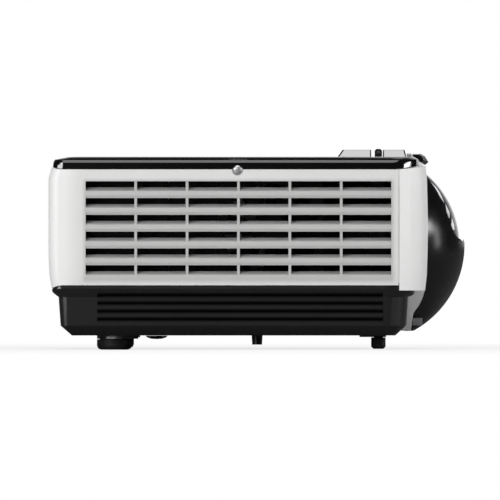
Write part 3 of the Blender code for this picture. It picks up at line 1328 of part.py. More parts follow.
BLOWER_SETBACK = 0.0595
BLOWER_X = FRONT_X - BLOWER_SETBACK
BLOWER_SIDE_SETBACK = 0.0395
BLOWER_Y = FAR_Y - BLOWER_SIDE_SETBACK
BLOWER_HALF = 0.0260
BLOWER_HEIGHT = 0.0180
BLOWER_WALL = 0.0020
BLOWER_RIM = 0.0045
BLOWER_CHAMBER = BLOWER_HALF - BLOWER_RIM
IMPELLER_CLEARANCE = 0.0025
IMPELLER_RADIUS = BLOWER_CHAMBER - IMPELLER_CLEARANCE
IMPELLER_HUB_SHARE = 0.42
IMPELLER_HUB = IMPELLER_RADIUS * IMPELLER_HUB_SHARE
VANE_ROOT_SHARE = 0.7
BLOWER_INLET_SHARE = 0.79
BLOWER_INLET = IMPELLER_RADIUS * BLOWER_INLET_SHARE
IMPELLER_VANES = 8
IMPELLER_VANE = 0.0010
BLOWER_MOUTH_SHARE = 0.93
BLOWER_SLOT_SHARE = 0.167


def make_blower():
    low = FLOOR_Z + GAP
    high = low + BLOWER_HEIGHT
    outline = rounded((BLOWER_X - BLOWER_HALF, BLOWER_Y - BLOWER_HALF),
                      (BLOWER_X + BLOWER_HALF, BLOWER_Y + BLOWER_HALF), BLOWER_HALF / 3, 4)
    housing = solid("blower_housing", prism(outline, "Z", low, high), SATIN_BLACK, 0.5)
    centre = (BLOWER_X, BLOWER_Y)
    cut(housing, rod("Z", centre, BLOWER_CHAMBER, low + BLOWER_WALL, high - BLOWER_WALL, 24))
    cut(housing, rod("Z", centre, BLOWER_INLET, low + BLOWER_WALL * 2, high + OVERRUN, 20))
    edge = BLOWER_Y - BLOWER_CHAMBER
    slot_low, slot_high = low + BLOWER_HEIGHT * BLOWER_SLOT_SHARE, high - BLOWER_HEIGHT * BLOWER_SLOT_SHARE
    cut(housing, box((BLOWER_X - BLOWER_HALF - OVERRUN, edge + OVERRUN, slot_low),
                     (BLOWER_X - IMPELLER_HUB, edge + BLOWER_CHAMBER * BLOWER_MOUTH_SHARE, slot_high)))
    wheel_low, wheel_high = low + BLOWER_WALL + GAP, high - BLOWER_WALL - GAP
    profile = ((0.0, wheel_low), (IMPELLER_RADIUS, wheel_low), (IMPELLER_RADIUS, wheel_low + OVERRUN),
               (IMPELLER_HUB, wheel_low + OVERRUN), (IMPELLER_HUB, wheel_high), (0.0, wheel_high))
    wheel = solid("blower_wheel", turned(profile, "Z", centre, 20), SATIN_BLACK, 0.45)
    vane_low, vane_high = IMPELLER_RADIUS * VANE_ROOT_SHARE, IMPELLER_RADIUS - GAP
    for vane in range(IMPELLER_VANES):
        blade = box((vane_low, -IMPELLER_VANE / 2, wheel_low + OVERRUN / 2),
                    (vane_high, IMPELLER_VANE / 2, wheel_high))
        turn = Matrix.Rotation(2 * math.pi * vane / IMPELLER_VANES, 4, "Z")
        bmesh.ops.transform(blade, matrix=Matrix.Translation((*centre, 0.0)) @ turn, verts=blade.verts)
        join(wheel, blade)
    move_origin(wheel, (*centre, wheel_low))


# Boards, sockets and speaker
MAIN_BOARD_FAR_SHARE = 0.2787
MAIN_BOARD_MARGIN = 0.0070
MAIN_BOARD_NEAR_Y = BEAM_Y + LAMP_HALF_WIDTH + MAIN_BOARD_MARGIN
MAIN_BOARD_FAR_Y = BODY_WIDTH * MAIN_BOARD_FAR_SHARE
MAIN_BOARD_LENGTH = 0.0527
MAIN_BOARD_FRONT_X = REAR_X + MAIN_BOARD_LENGTH
BOARD_EDGE_CLEARANCE = 0.0015
CHIP_SIZE = 0.0300
CHIP_HEIGHT = 0.0060
POWER_BOARD_REAR_SHARE = -0.2485
POWER_BOARD_NEAR_SHARE = 0.0279
POWER_BOARD_FAR_SHARE = 0.4390
POWER_BOARD_REAR_X = TOTAL_LENGTH * POWER_BOARD_REAR_SHARE
POWER_BOARD_MARGIN = 0.0050
POWER_BOARD_FRONT_X = BLOWER_X - BLOWER_HALF - POWER_BOARD_MARGIN
POWER_BOARD_NEAR_Y = BODY_WIDTH * POWER_BOARD_NEAR_SHARE
POWER_BOARD_FAR_Y = BODY_WIDTH * POWER_BOARD_FAR_SHARE
POWER_BOARD_Z = 0.0170
TRANSFORMER_SIZE = 0.0300
TRANSFORMER_HEIGHT = 0.0260
CAPACITOR_RADIUS = 0.0110
CAPACITOR_HEIGHT = 0.0300
PILLAR_RADIUS = 0.0030
CHIP_BOARD_SHARE = 0.7636
CHIP_BOARD_WIDTH = (LENS_Y - BEAM_Y) * CHIP_BOARD_SHARE
CHIP_BOARD_HEIGHT = 0.0560
SINK_DEPTH = 0.0140
SINK_BACK = 0.0040
SINK_FINS = 8
SINK_FIN = 0.0014
SPEAKER_SETBACK = 0.0447
SPEAKER_X = REAR_X + SPEAKER_SETBACK
SPEAKER_Z = 0.0660
SPEAKER_SIZE = 0.0440
SPEAKER_CONE = 0.0190
SPEAKER_MAGNET = 0.0110
SPEAKER_DEPTH = 0.0150
JACK_BORE_SHARE = 0.22
PORT_RIM_SHARE = 0.2
PORT_LOW_SHARE = 0.29
PORT_HIGH_SHARE = 0.33
PORT_SCREW_SHARE = 0.42
PORT_THREAD_SHARE = 0.045
SHIELD_SHARE = 0.11
INLET_WALL_SHARE = 0.08
PIN_SHARE = 0.12
PIN_HALF_SHARE = 0.05
PIN_PLACE_SHARES = ((-0.25, -0.05), (0.0, 0.12), (0.25, -0.05))


def make_main_board():
    rear = REAR_X + WALL + BOARD_EDGE_CLEARANCE
    top = MAIN_BOARD_Z + BOARD_THICKNESS
    board = box((rear, MAIN_BOARD_NEAR_Y, MAIN_BOARD_Z), (MAIN_BOARD_FRONT_X, MAIN_BOARD_FAR_Y, top))
    board = solid("main_board", board, BOARD_GREEN, 0.5)
    middle = (MAIN_BOARD_NEAR_Y + MAIN_BOARD_FAR_Y) / 2
    front = MAIN_BOARD_FRONT_X - CHIP_HEIGHT
    join(board, box((front - CHIP_SIZE, middle, top - BOARD_THICKNESS / 2),
                    (front, middle + CHIP_SIZE, top + CHIP_HEIGHT)))


def make_power_board():
    top = POWER_BOARD_Z + BOARD_THICKNESS
    board = box((POWER_BOARD_REAR_X, POWER_BOARD_NEAR_Y, POWER_BOARD_Z),
                (POWER_BOARD_FRONT_X, POWER_BOARD_FAR_Y, top))
    board = solid("power_board", board, BOARD_GREEN, 0.5)
    x = POWER_BOARD_REAR_X + TRANSFORMER_SIZE / 2
    y = POWER_BOARD_NEAR_Y + TRANSFORMER_SIZE / 2
    join(board, box((x, y, top - BOARD_THICKNESS / 2),
                    (x + TRANSFORMER_SIZE, y + TRANSFORMER_SIZE, top + TRANSFORMER_HEIGHT)))
    x = POWER_BOARD_REAR_X + 2 * CAPACITOR_RADIUS
    for step in (3, 6):
        y = POWER_BOARD_FAR_Y - step * CAPACITOR_RADIUS
        can = rod("Z", (x, y), CAPACITOR_RADIUS, top - BOARD_THICKNESS / 2, top + CAPACITOR_HEIGHT, 20)
        join(board, can)


def make_mirror_chip_board():
    front = ENGINE_REAR_X - GAP
    rear = front - BOARD_THICKNESS
    half_width, half_height = CHIP_BOARD_WIDTH / 2, CHIP_BOARD_HEIGHT / 2
    board = box((rear, LENS_Y - half_width, LENS_Z - half_height),
                (front, LENS_Y + half_width, LENS_Z + half_height))
    solid("mirror_chip_board", board, BOARD_GREEN, 0.5)
    back = rear - GAP
    inset = OVERRUN * 2
    sink = box((back - SINK_BACK, LENS_Y - half_width + inset, LENS_Z - half_height + inset),
               (back, LENS_Y + half_width - inset, LENS_Z + half_height - inset))
    sink = solid("chip_heat_sink", sink, ALUMINIUM, 0.4, 1.0)
    span = CHIP_BOARD_WIDTH - 2 * inset - SINK_FIN
    fins = bmesh.new()
    for fin in range(SINK_FINS):
        y = LENS_Y - half_width + inset + span * fin / (SINK_FINS - 1)
        box((back - SINK_DEPTH, y, LENS_Z - half_height + inset),
            (back - SINK_BACK / 2, y + SINK_FIN, LENS_Z + half_height - inset), fins)
    join(sink, fins)


def make_sockets():
    for name, (width, height, depth) in SOCKET_SIZES.items():
        y = BODY_WIDTH * SOCKET_PLACE_SHARES[name]
        low, high = socket_box(name, 0.0)
        metal = name.startswith(("network", "video"))
        colour, roughness, metallic = (STEEL, 0.3, 1.0) if metal else (GREY_PLASTIC, 0.45, 0.0)
        socket = solid(name, box(low, high), colour, roughness, metallic)
        middle_z = (low[2] + high[2]) / 2
        face = low[0] - OVERRUN
        if name.startswith("audio"):
            cut(socket, rod("X", (y, middle_z), width * JACK_BORE_SHARE, face, high[0] - depth / 4, 16))
        elif name in ("serial_socket", "computer_socket"):
            rim = height * PORT_RIM_SHARE
            narrow, wide = width * PORT_LOW_SHARE, width * PORT_HIGH_SHARE
            outline = ((y - narrow, low[2] + rim), (y + narrow, low[2] + rim),
                       (y + wide, high[2] - rim), (y - wide, high[2] - rim))
            cut(socket, prism(outline, "X", face, low[0] + depth / 4))
            for side in (-1, 1):
                centre = (y + side * width * PORT_SCREW_SHARE, middle_z)
                cut(socket, rod("X", centre, width * PORT_THREAD_SHARE, face, low[0] + depth / 3, 12))
        else:
            wall = height * SHIELD_SHARE
            cut(socket, box((face, low[1] + wall, low[2] + wall),
                            (high[0] - depth / 4, high[1] - wall, high[2] - wall)))
        if name == "video_socket":
            wall = height * SHIELD_SHARE
            join(socket, box((low[0] + depth / 5, low[1] + width / 4, middle_z - wall),
                             (high[0] - depth / 5, high[1] - width / 4, middle_z + wall)))


def make_power_inlet():
    low = (SOCKET_FACE_X, INLET_Y - INLET_WIDTH / 2, INLET_Z - INLET_HEIGHT / 2)
    high = (SOCKET_FACE_X + INLET_DEPTH, INLET_Y + INLET_WIDTH / 2, INLET_Z + INLET_HEIGHT / 2)
    inlet = solid("power_inlet", box(low, high), SATIN_BLACK, 0.45)
    wall = INLET_HEIGHT * INLET_WALL_SHARE
    chamfer = INLET_HEIGHT / 4
    y0, y1, z0, z1 = low[1] + wall, high[1] - wall, low[2] + wall, high[2] - wall
    mouth = ((y0, z0), (y1, z0), (y1, z1 - chamfer), (y1 - chamfer, z1), (y0 + chamfer, z1),
             (y0, z1 - chamfer))
    floor = high[0] - wall * 2
    cut(inlet, prism(mouth, "X", low[0] - OVERRUN, floor))
    pins = bmesh.new()
    front = low[0] + INLET_DEPTH / 4
    half_y, half_z = INLET_HEIGHT * PIN_HALF_SHARE, INLET_HEIGHT * PIN_SHARE
    for share, lift in PIN_PLACE_SHARES:
        y, z = INLET_Y + share * INLET_WIDTH, INLET_Z + lift * INLET_HEIGHT
        box((front, y - half_y, z - half_z), (floor + OVERRUN, y + half_y, z + half_z), pins)
    join(inlet, pins)


def make_speaker():
    face = FAR_Y - WALL - GAP
    half = SPEAKER_SIZE / 2
    plate = rounded((SPEAKER_X - half, SPEAKER_Z - half), (SPEAKER_X + half, SPEAKER_Z + half), half / 4)
    speaker = solid("speaker", prism(plate, "Y", face - OVERRUN * 2, face), SATIN_BLACK, 0.6)
    centre = (SPEAKER_X, SPEAKER_Z)
    back = face - SPEAKER_DEPTH
    profile = ((0.0, back), (SPEAKER_MAGNET, back), (SPEAKER_MAGNET, back + SPEAKER_DEPTH / 3),
               (SPEAKER_CONE, face - OVERRUN), (0.0, face - OVERRUN))
    join(speaker, turned(profile, "Y", centre, 16))


def fit_base_pan(pan):
    """Holes for the feet, the notch for the lens, and the posts that carry the inside."""
    holes = bmesh.new()
    below, above = BASE_Z - FOOT_BOSS_HEIGHT - OVERRUN, FLOOR_Z + OVERRUN
    for side in (-1, 1):
        rod("Z", (FOOT_X, side * FOOT_SPREAD), STEM_RADIUS + GAP, below, above, 16, holes)
    cut(pan, holes)
    low_half = (FRONT_STEM_LENGTH / 2 + GAP + FOOT_GUIDE_WALL, FRONT_STEM_WIDTH / 2 + GAP + FOOT_GUIDE_WALL)
    guide = box((FRONT_FOOT_X - low_half[0], -low_half[1], FLOOR_Z - BASE_WALL / 2),
                (FRONT_FOOT_X + low_half[0], low_half[1], FLOOR_Z + FOOT_GUIDE_HEIGHT))
    join(pan, guide)
    cut(pan, prism(stem_outline(GAP), "Z", below, FLOOR_Z + FOOT_GUIDE_HEIGHT + OVERRUN))
    notch_radius = BARREL_RADIUS + FRONT_LENS_SEAT / 2
    cut(pan, rod("X", LENS_LINE, notch_radius, BEZEL_SEAM_X, FRONT_X, 28))
    front = base_front_x(RELEASE_LOW_Z)
    cut(pan, prism(release_outline(GAP), "X", front - 2 * BASE_WALL, front + 2 * BASE_WALL))
    posts = bmesh.new()
    root = FLOOR_Z - BASE_WALL / 2
    inset = 2 * PILLAR_RADIUS
    rear = REAR_X + WALL + BOARD_EDGE_CLEARANCE + BASE_TUCK
    for x in (rear + inset, MAIN_BOARD_FRONT_X - inset):
        for y in (MAIN_BOARD_NEAR_Y + inset, MAIN_BOARD_FAR_Y - inset):
            rod("Z", (x, y), PILLAR_RADIUS, root, MAIN_BOARD_Z - GAP, 8, posts)
    for x in (POWER_BOARD_REAR_X + inset, POWER_BOARD_FRONT_X - inset):
        for y in (POWER_BOARD_NEAR_Y + inset, POWER_BOARD_FAR_Y - inset):
            rod("Z", (x, y), PILLAR_RADIUS, root, POWER_BOARD_Z - GAP, 8, posts)
    lamp_rear = LAMP_FRONT_X - LAMP_LENGTH
    for x in (lamp_rear + SHELF_WALL, LAMP_FRONT_X - 2 * SHELF_WALL):
        box((x, BEAM_Y - LAMP_HALF_WIDTH + 2 * SHELF_WALL, root),
            (x + SHELF_WALL, BEAM_Y + LAMP_HALF_WIDTH - SHELF_WALL, LAMP_LOW_Z - GAP), posts)
    for x in (FAN_X - FAN_SIZE / 2 + SHELF_WALL, FAN_X + FAN_SIZE / 2 - 2 * SHELF_WALL):
        box((x, FAN_NEAR_Y, root), (x + SHELF_WALL, FAN_NEAR_Y + FAN_DEPTH - SHELF_WALL,
                                    FAN_Z - FAN_SIZE / 2 - GAP), posts)
    join(pan, posts)


def make_captive_screw():
    axis = (SCREW_X, SCREW_Z)
    face = NEAR_Y + GAP / 3
    under = EAR_Y - GAP
    chamfer = SCREW_SLOT_DEPTH / 3
    profile = ((0.0, face), (SCREW_HEAD_RADIUS - chamfer, face), (SCREW_HEAD_RADIUS, face + chamfer),
               (SCREW_HEAD_RADIUS, under), (SCREW_SHANK_RADIUS, under),
               (SCREW_SHANK_RADIUS, under + SCREW_LENGTH), (0.0, under + SCREW_LENGTH))
    screw = solid("captive_screw", turned(profile, "Y", axis, SCREW_SIDES), STEEL, 0.25, 1.0)
    reach = SCREW_HEAD_RADIUS * SLOT_REACH_SHARE
    slots = ((reach, SCREW_SLOT / 2), (SCREW_SLOT / 2, reach))
    for half_x, half_z in slots:
        cut(screw, box((SCREW_X - half_x, face - OVERRUN, SCREW_Z - half_z),
                       (SCREW_X + half_x, face + SCREW_SLOT_DEPTH, SCREW_Z + half_z)))
    move_origin(screw, (SCREW_X, EAR_Y, SCREW_Z))


def make_top_sensor():
    rear = SLOT_FRONT_X + FRONT_HOOD_LENGTH
    outline = rounded((rear, LENS_Y - TOP_SENSOR_WIDTH / 2),
                      (rear + TOP_SENSOR_LENGTH, LENS_Y + TOP_SENSOR_WIDTH / 2), TOP_SENSOR_LENGTH / 4, 2)
    sensor = prism(outline, "Z", DECK_Z + GAP, DECK_Z + TOP_SENSOR_RISE)
    solid("top_infrared_window", sensor, LIGHT_GREY, 0.2)


def build_projector():
    clear_scene()
    pan = make_base_pan()
    fit_base_pan(pan)
    make_lamp_cover()
    make_side_panel()
    make_intake_filter()
    make_rear_panel()
    make_front_bezel()
    make_front_sensor()
    make_top_cover()
    make_top_sensor()
    make_lens_dome()
    make_dome_glass()
    make_visor()
    make_captive_screw()
    make_lens_barrel()
    make_lenses()
    make_focus_ring()
    make_keypad()
    make_status_light_strip()
    make_rear_foot("rear_foot_near", -1)
    make_rear_foot("rear_foot_far", 1)
    make_front_foot()
    make_foot_release_button()
    make_rubber_bumper()
    make_optical_engine()
    make_colour_wheel()
    make_lamp()
    make_exhaust_fan()
    make_blower()
    make_main_board()
    make_power_board()
    make_mirror_chip_board()
    make_sockets()
    make_power_inlet()
    make_speaker()


build_projector()
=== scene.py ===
"""Looks of the short throw projector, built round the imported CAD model."""
import math

import bmesh
import bpy
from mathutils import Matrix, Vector


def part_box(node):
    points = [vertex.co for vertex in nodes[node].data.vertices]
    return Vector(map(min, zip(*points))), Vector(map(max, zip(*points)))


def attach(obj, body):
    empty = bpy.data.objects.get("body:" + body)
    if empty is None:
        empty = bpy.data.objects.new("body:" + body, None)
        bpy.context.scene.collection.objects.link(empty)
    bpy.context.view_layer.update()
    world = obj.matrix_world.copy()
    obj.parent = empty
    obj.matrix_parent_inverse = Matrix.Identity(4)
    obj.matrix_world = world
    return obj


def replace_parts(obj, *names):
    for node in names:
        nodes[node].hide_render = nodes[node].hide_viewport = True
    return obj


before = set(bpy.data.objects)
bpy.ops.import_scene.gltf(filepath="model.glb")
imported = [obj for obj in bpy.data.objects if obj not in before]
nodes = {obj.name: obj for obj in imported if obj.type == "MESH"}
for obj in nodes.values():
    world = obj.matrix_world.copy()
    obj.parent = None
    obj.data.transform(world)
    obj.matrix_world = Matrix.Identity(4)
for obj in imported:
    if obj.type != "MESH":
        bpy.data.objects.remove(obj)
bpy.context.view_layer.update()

# Base pan: one injection moulding in black ABS with a fine spark-eroded texture. It carries
# everything inside on its posts, and the white panels hook over its lip.
WELD_DISTANCE = 2e-6
COPLANAR_ANGLE = math.radians(0.4)
SHARP_ANGLE = math.radians(32.0)
BASE_ROUNDING = 0.0004
GROOVE_TOP_Z = 0.0306
GROOVE_PITCH = 0.00448
GROOVE_LOW = Vector((-0.0893, 0.0, 0.0149))
GROOVE_HIGH = Vector((0.0701, 0.0, 0.0328))
GROOVE_FADE = 0.0004


class Wire:
    """One output in a material. Sums and products of wires and numbers add Math nodes."""

    def __init__(self, tree, output):
        self.tree = tree
        self.output = output

    def node(self, kind, settings=None, inputs=None, output=0):
        made = self.tree.nodes.new(kind)
        for name, value in (settings or {}).items():
            if name == "stops":
                ramp = made.color_ramp
                while len(ramp.elements) < len(value):
                    ramp.elements.new(1.0)
                for element, (place, tone) in zip(ramp.elements, value):
                    element.position = place
                    element.color = (*tone, 1.0) if isinstance(tone, tuple) else (tone, tone, tone, 1.0)
            else:
                setattr(made, name, value)
        for name, value in (inputs or {}).items():
            if isinstance(value, Wire):
                self.tree.links.new(value.output, made.inputs[name])
            else:
                made.inputs[name].default_value = value
        return Wire(self.tree, made.outputs[output]) if made.outputs else made

    def maths(self, operation, first, second):
        return self.node("ShaderNodeMath", {"operation": operation}, {0: first, 1: second})

    def __add__(self, other):
        return self.maths("ADD", self, other)

    def __sub__(self, other):
        return self.maths("SUBTRACT", self, other)

    def __rsub__(self, other):
        return self.maths("SUBTRACT", other, self)

    def __mul__(self, other):
        return self.maths("MULTIPLY", self, other)

    __radd__ = __add__
    __rmul__ = __mul__

    def blend(self, low, high):
        """Two colours mixed by this wire's value."""
        return self.node("ShaderNodeMix", {"data_type": "RGBA"},
                         {0: self, 6: (*low, 1.0), 7: (*high, 1.0)}, 2)

    def noise(self, grains_per_metre, detail=2.0):
        """Cloudy noise on this wire's coordinates, about 0.5 on average."""
        return self.node("ShaderNodeTexNoise", None, {
            "Vector": self, "Scale": grains_per_metre, "Detail": detail})


def finish(name, slot_values):
    """An empty Principled material, the object coordinates in it, and its shader node."""
    made = bpy.data.materials.new(name)
    made.use_nodes = True
    shader = made.node_tree.nodes["Principled BSDF"]
    for socket, value in slot_values.items():
        shader.inputs[socket].default_value = value
    place = made.node_tree.nodes.new("ShaderNodeTexCoord")
    return made, Wire(made.node_tree, place.outputs["Object"]), shader


def feed(shader, wires):
    """Link wires to the named sockets of a shader."""
    for socket, wire in wires.items():
        wire.tree.links.new(wire.output, shader.inputs[socket])


def bumped(height, strength, distance):
    """A normal from a height wire; the distance is the real depth in metres."""
    return height.node("ShaderNodeBump", None, {
        "Height": height, "Strength": strength, "Distance": distance})


def moulded(name, colour, worn, roughness, grain, depth, specular=0.5):
    """Moulded plastic: a fine grain in the surface, slow changes of gloss and a little handling wear."""
    made, place, shader = finish(name, {"Specular IOR Level": specular})
    fine = place.noise(grain)
    slow = place.noise(18.0, 4.0)
    feed(shader, {
        "Base Color": (slow * fine * 1.6).blend(colour, worn),
        "Roughness": roughness + (slow - 0.5) * 0.16 + (fine - 0.5) * 0.06,
        "Normal": bumped(fine, 0.6, depth),
    })
    return made


def merged(node):
    """A copy of a CAD node's mesh with its loose triangles joined into whole faces."""
    bm = bmesh.new()
    bm.from_mesh(nodes[node].data)
    bmesh.ops.remove_doubles(bm, verts=bm.verts, dist=WELD_DISTANCE)
    bmesh.ops.dissolve_limit(bm, angle_limit=COPLANAR_ANGLE, verts=bm.verts, edges=bm.edges)
    return bm


def part(name, bm, body, material, angle=SHARP_ANGLE):
    """A finished piece from a bmesh: smooth where it curves, riding on its body."""
    mesh = bpy.data.meshes.new(name)
    bm.to_mesh(mesh)
    bm.free()
    mesh.shade_smooth()
    mesh.set_sharp_from_angle(angle=angle)
    mesh.materials.append(material)
    piece = bpy.data.objects.new(name, mesh)
    bpy.context.scene.collection.objects.link(piece)
    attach(piece, body)
    return piece


def rounded(piece, width, segments=2, angle=SHARP_ANGLE, flat=True):
    """Round every real edge of a piece. On a flat-sided piece the large faces decide the shading."""
    edge = piece.modifiers.new("edges", "BEVEL")
    edge.width = width
    edge.segments = segments
    edge.limit_method = "ANGLE"
    edge.angle_limit = angle
    edge.miter_outer = "MITER_ARC"
    if flat:
        faces = piece.modifiers.new("faces", "WEIGHTED_NORMAL")
        faces.keep_sharp = True
    else:
        edge.harden_normals = True
    return piece


def refined(node, body, material, width, segments=2, angle=SHARP_ANGLE, flat=True):
    """A CAD node with its triangles joined, its edges rounded and its curves smooth."""
    piece = part(node + "_moulding", merged(node), body, material, angle)
    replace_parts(piece, node)
    return rounded(piece, width, segments, angle, flat) if width else piece


def between(coordinate, low, high, fade):
    """1 between two heights or lengths, and 0 outside them."""
    offset = coordinate - (low + high) / 2
    span = (high - low) / 2
    return coordinate.node("ShaderNodeMapRange", None, {
        "Value": offset.node("ShaderNodeMath", {"operation": "ABSOLUTE"}, {0: offset}),
        "From Min": span + fade, "From Max": span})


base_black, place, shader = finish("base_black", {
    "Specular IOR Level": 0.0, "Coat Roughness": 0.30, "Coat IOR": 1.7})
along = place.node("ShaderNodeSeparateXYZ", None, {"Vector": place}, "X")
up = place.node("ShaderNodeSeparateXYZ", None, {"Vector": place}, "Z")
swing = (up - GROOVE_TOP_Z) * (2 * math.pi / GROOVE_PITCH)
wave = swing.node("ShaderNodeMath", {"operation": "COSINE"}, {0: swing})
# The groove mask paints the base colour darker in bands across the grooves: painted shade in the grooves.
# The same mask also gives the grooves their own duller coat, roughness and bump.
grooves_and_shade = between(along, GROOVE_LOW.x, GROOVE_HIGH.x, GROOVE_FADE)
grooves_and_shade = grooves_and_shade * between(up, GROOVE_LOW.z, GROOVE_HIGH.z, GROOVE_FADE) * (wave * 0.5 + 0.5)
fine = place.noise(2600.0)
slow = place.noise(18.0, 4.0)
coarse = place.noise(1100.0, 3.0)
feed(shader, {
    "Base Color": (grooves_and_shade * 0.9 + slow * fine * 0.2).blend(
        (0.0052, 0.0052, 0.0055), (0.0008, 0.0008, 0.0008)),
    "Roughness": 0.5 + (slow - 0.5) * 0.12 + grooves_and_shade * 0.3,
    "Coat Weight": (1.0 - grooves_and_shade) * (0.85 + (slow - 0.5) * 0.3),
    "Normal": bumped(fine + grooves_and_shade * coarse, 0.6, 4e-5),
})
refined("base_pan", "case", base_black, BASE_ROUNDING)

# Feet and bumper: moulded rubber pads, pressed on threaded stems at the rear and on the drop
# foot's blade at the front, with the button in the base's front wall that lets the blade fall.
FOOT_ROUNDING = 0.0003
BUTTON_ROUNDING = 0.0004
foot_rubber = moulded("foot_rubber", (0.008, 0.008, 0.008), (0.018, 0.017, 0.016), 0.62, 1500.0, 8e-5, 0.3)
satin_black = moulded(
    "satin_black", (0.0036, 0.0036, 0.004), (0.007, 0.007, 0.0075), 0.36, 2600.0, 4e-5, 0.3)
for name in ("rear_foot_near", "rear_foot_far", "front_foot"):
    refined(name, name, foot_rubber, FOOT_ROUNDING)
refined("rubber_bumper", "case", foot_rubber, 0.0)
refined("foot_release_button", "foot_release_button", satin_black, BUTTON_ROUNDING)

# Circuit boards: green glass-fibre laminate with etched tracks and soldered chips, screwed to
# the base's posts; the key board hangs under the lid and the chip board behind the lens.
BOARD_ROUNDING = 0.00015
circuit_board, place, shader = finish("circuit_board", {"Specular IOR Level": 0.5})
tracks = place.node("ShaderNodeTexBrick", {"offset": 0.37, "squash": 0.6, "squash_frequency": 3}, {
    "Vector": place, "Scale": 60.0, "Color1": (1.0, 1.0, 1.0, 1.0), "Color2": (0.6, 0.6, 0.6, 1.0),
    "Mortar": (0.0, 0.0, 0.0, 1.0), "Mortar Size": 0.05}, "Fac")
speckle = place.noise(700.0)
feed(shader, {
    "Base Color": (tracks * 0.7 + speckle * 0.3).blend((0.006, 0.060, 0.024), (0.05, 0.17, 0.07)),
    "Roughness": 0.34 + speckle * 0.12,
    "Normal": bumped(tracks, 0.5, 5e-5),
})
for name in ("main_board", "power_board", "mirror_chip_board", "key_board"):
    refined(name, "case", circuit_board, BOARD_ROUNDING)

# Fans and speaker: black glass-filled nylon mouldings. The exhaust fan stands behind the near
# louvres with a ribbed black plate beside it, a dark sheet put behind the louvres so that their
# slots read black: painted shade. The blower lies on the base, and the framed filter covers the
# far louvres.
FAN_ROUNDING = 0.0003
PLATE_LOW = Vector((-0.0494, -0.1296, 0.0376))
PLATE_HIGH = Vector((-0.0216, -0.1284, 0.0956))
PLATE_RIBS = 5
PLATE_RIB_HEIGHT = 0.0008
PLATE_ROUNDING = 0.0002
FILTER_ROUNDING = 0.0002


def block(low, high):
    """A bmesh box between two corners."""
    bm = bmesh.new()
    bmesh.ops.create_cube(bm, size=1.0)
    bmesh.ops.scale(bm, vec=high - low, verts=bm.verts)
    bmesh.ops.translate(bm, vec=(high + low) / 2, verts=bm.verts)
    return bm


# Their black is darker and duller than plain black nylon, so that the inside reads black through the slots:
# their own black, darkened further as painted shade.
dark_moulding = moulded(
    "dark_moulding", (0.0012, 0.0012, 0.0012), (0.004, 0.004, 0.004), 0.6, 1800.0, 6e-5, 0.08)
for name in ("exhaust_fan_frame", "blower_housing", "speaker"):
    refined(name, "case", dark_moulding, FAN_ROUNDING)
for name in ("exhaust_fan_rotor", "blower_wheel"):
    refined(name, name, dark_moulding, 0.0)
# The ribbed plate is a dark sheet behind the near louvres that stands in for the shade inside the case:
# painted shade.
bm = block(PLATE_LOW, PLATE_HIGH)
near_face = next(f for f in bm.faces if f.normal.y < -0.5)
upright = [e for e in near_face.edges if abs(e.verts[0].co.z - e.verts[1].co.z) > PLATE_RIB_HEIGHT]
bmesh.ops.subdivide_edges(bm, edges=upright, cuts=2 * PLATE_RIBS, use_grid_fill=True)
bmesh.ops.recalc_face_normals(bm, faces=bm.faces)
bands = sorted((f for f in bm.faces if f.normal.y < -0.5), key=lambda f: f.calc_center_median().z)
raised = bmesh.ops.extrude_discrete_faces(bm, faces=bands[1::2])
lifted = list({v for f in raised["faces"] for v in f.verts})
bmesh.ops.translate(bm, vec=(0.0, -PLATE_RIB_HEIGHT, 0.0), verts=lifted)
rounded(part("louvre_shade_plate", bm, "case", dark_moulding), PLATE_ROUNDING)
filter_mesh, place, shader = finish("filter_mesh", {"Specular IOR Level": 0.2, "Roughness": 0.8})
cells = place.node("ShaderNodeTexVoronoi", {"feature": "DISTANCE_TO_EDGE"}, {
    "Vector": place, "Scale": 700.0})
threads = cells.node("ShaderNodeMapRange", None, {"Value": cells, "From Min": 0.0, "From Max": 0.25})
feed(shader, {
    "Base Color": threads.blend((0.012, 0.012, 0.012), (0.002, 0.002, 0.002)),
    "Normal": bumped(threads, 0.8, 2e-4),
})
refined("intake_filter", "case", filter_mesh, FILTER_ROUNDING)

# Lamp: a pressed black cage that carries the pressed reflector bowl. The bowl's inside has a
# vacuum-coated mirror with small facets, and cage and bowl slide out together.
CAGE_ROUNDING = 0.0003
refined("lamp_cage", "lamp", dark_moulding, CAGE_ROUNDING)
mirror_bowl, place, shader = finish("mirror_bowl", {"Metallic": 1.0})
facets = place.node("ShaderNodeTexVoronoi", {"feature": "F1"}, {"Vector": place, "Scale": 210.0}, 0)
feed(shader, {
    "Base Color": facets.blend((0.78, 0.80, 0.86), (0.62, 0.66, 0.80)),
    "Roughness": 0.08 + facets * 0.10,
    "Normal": bumped(facets, 0.3, 2e-4),
})
refined("lamp_reflector", "lamp", mirror_bowl, 0.0)

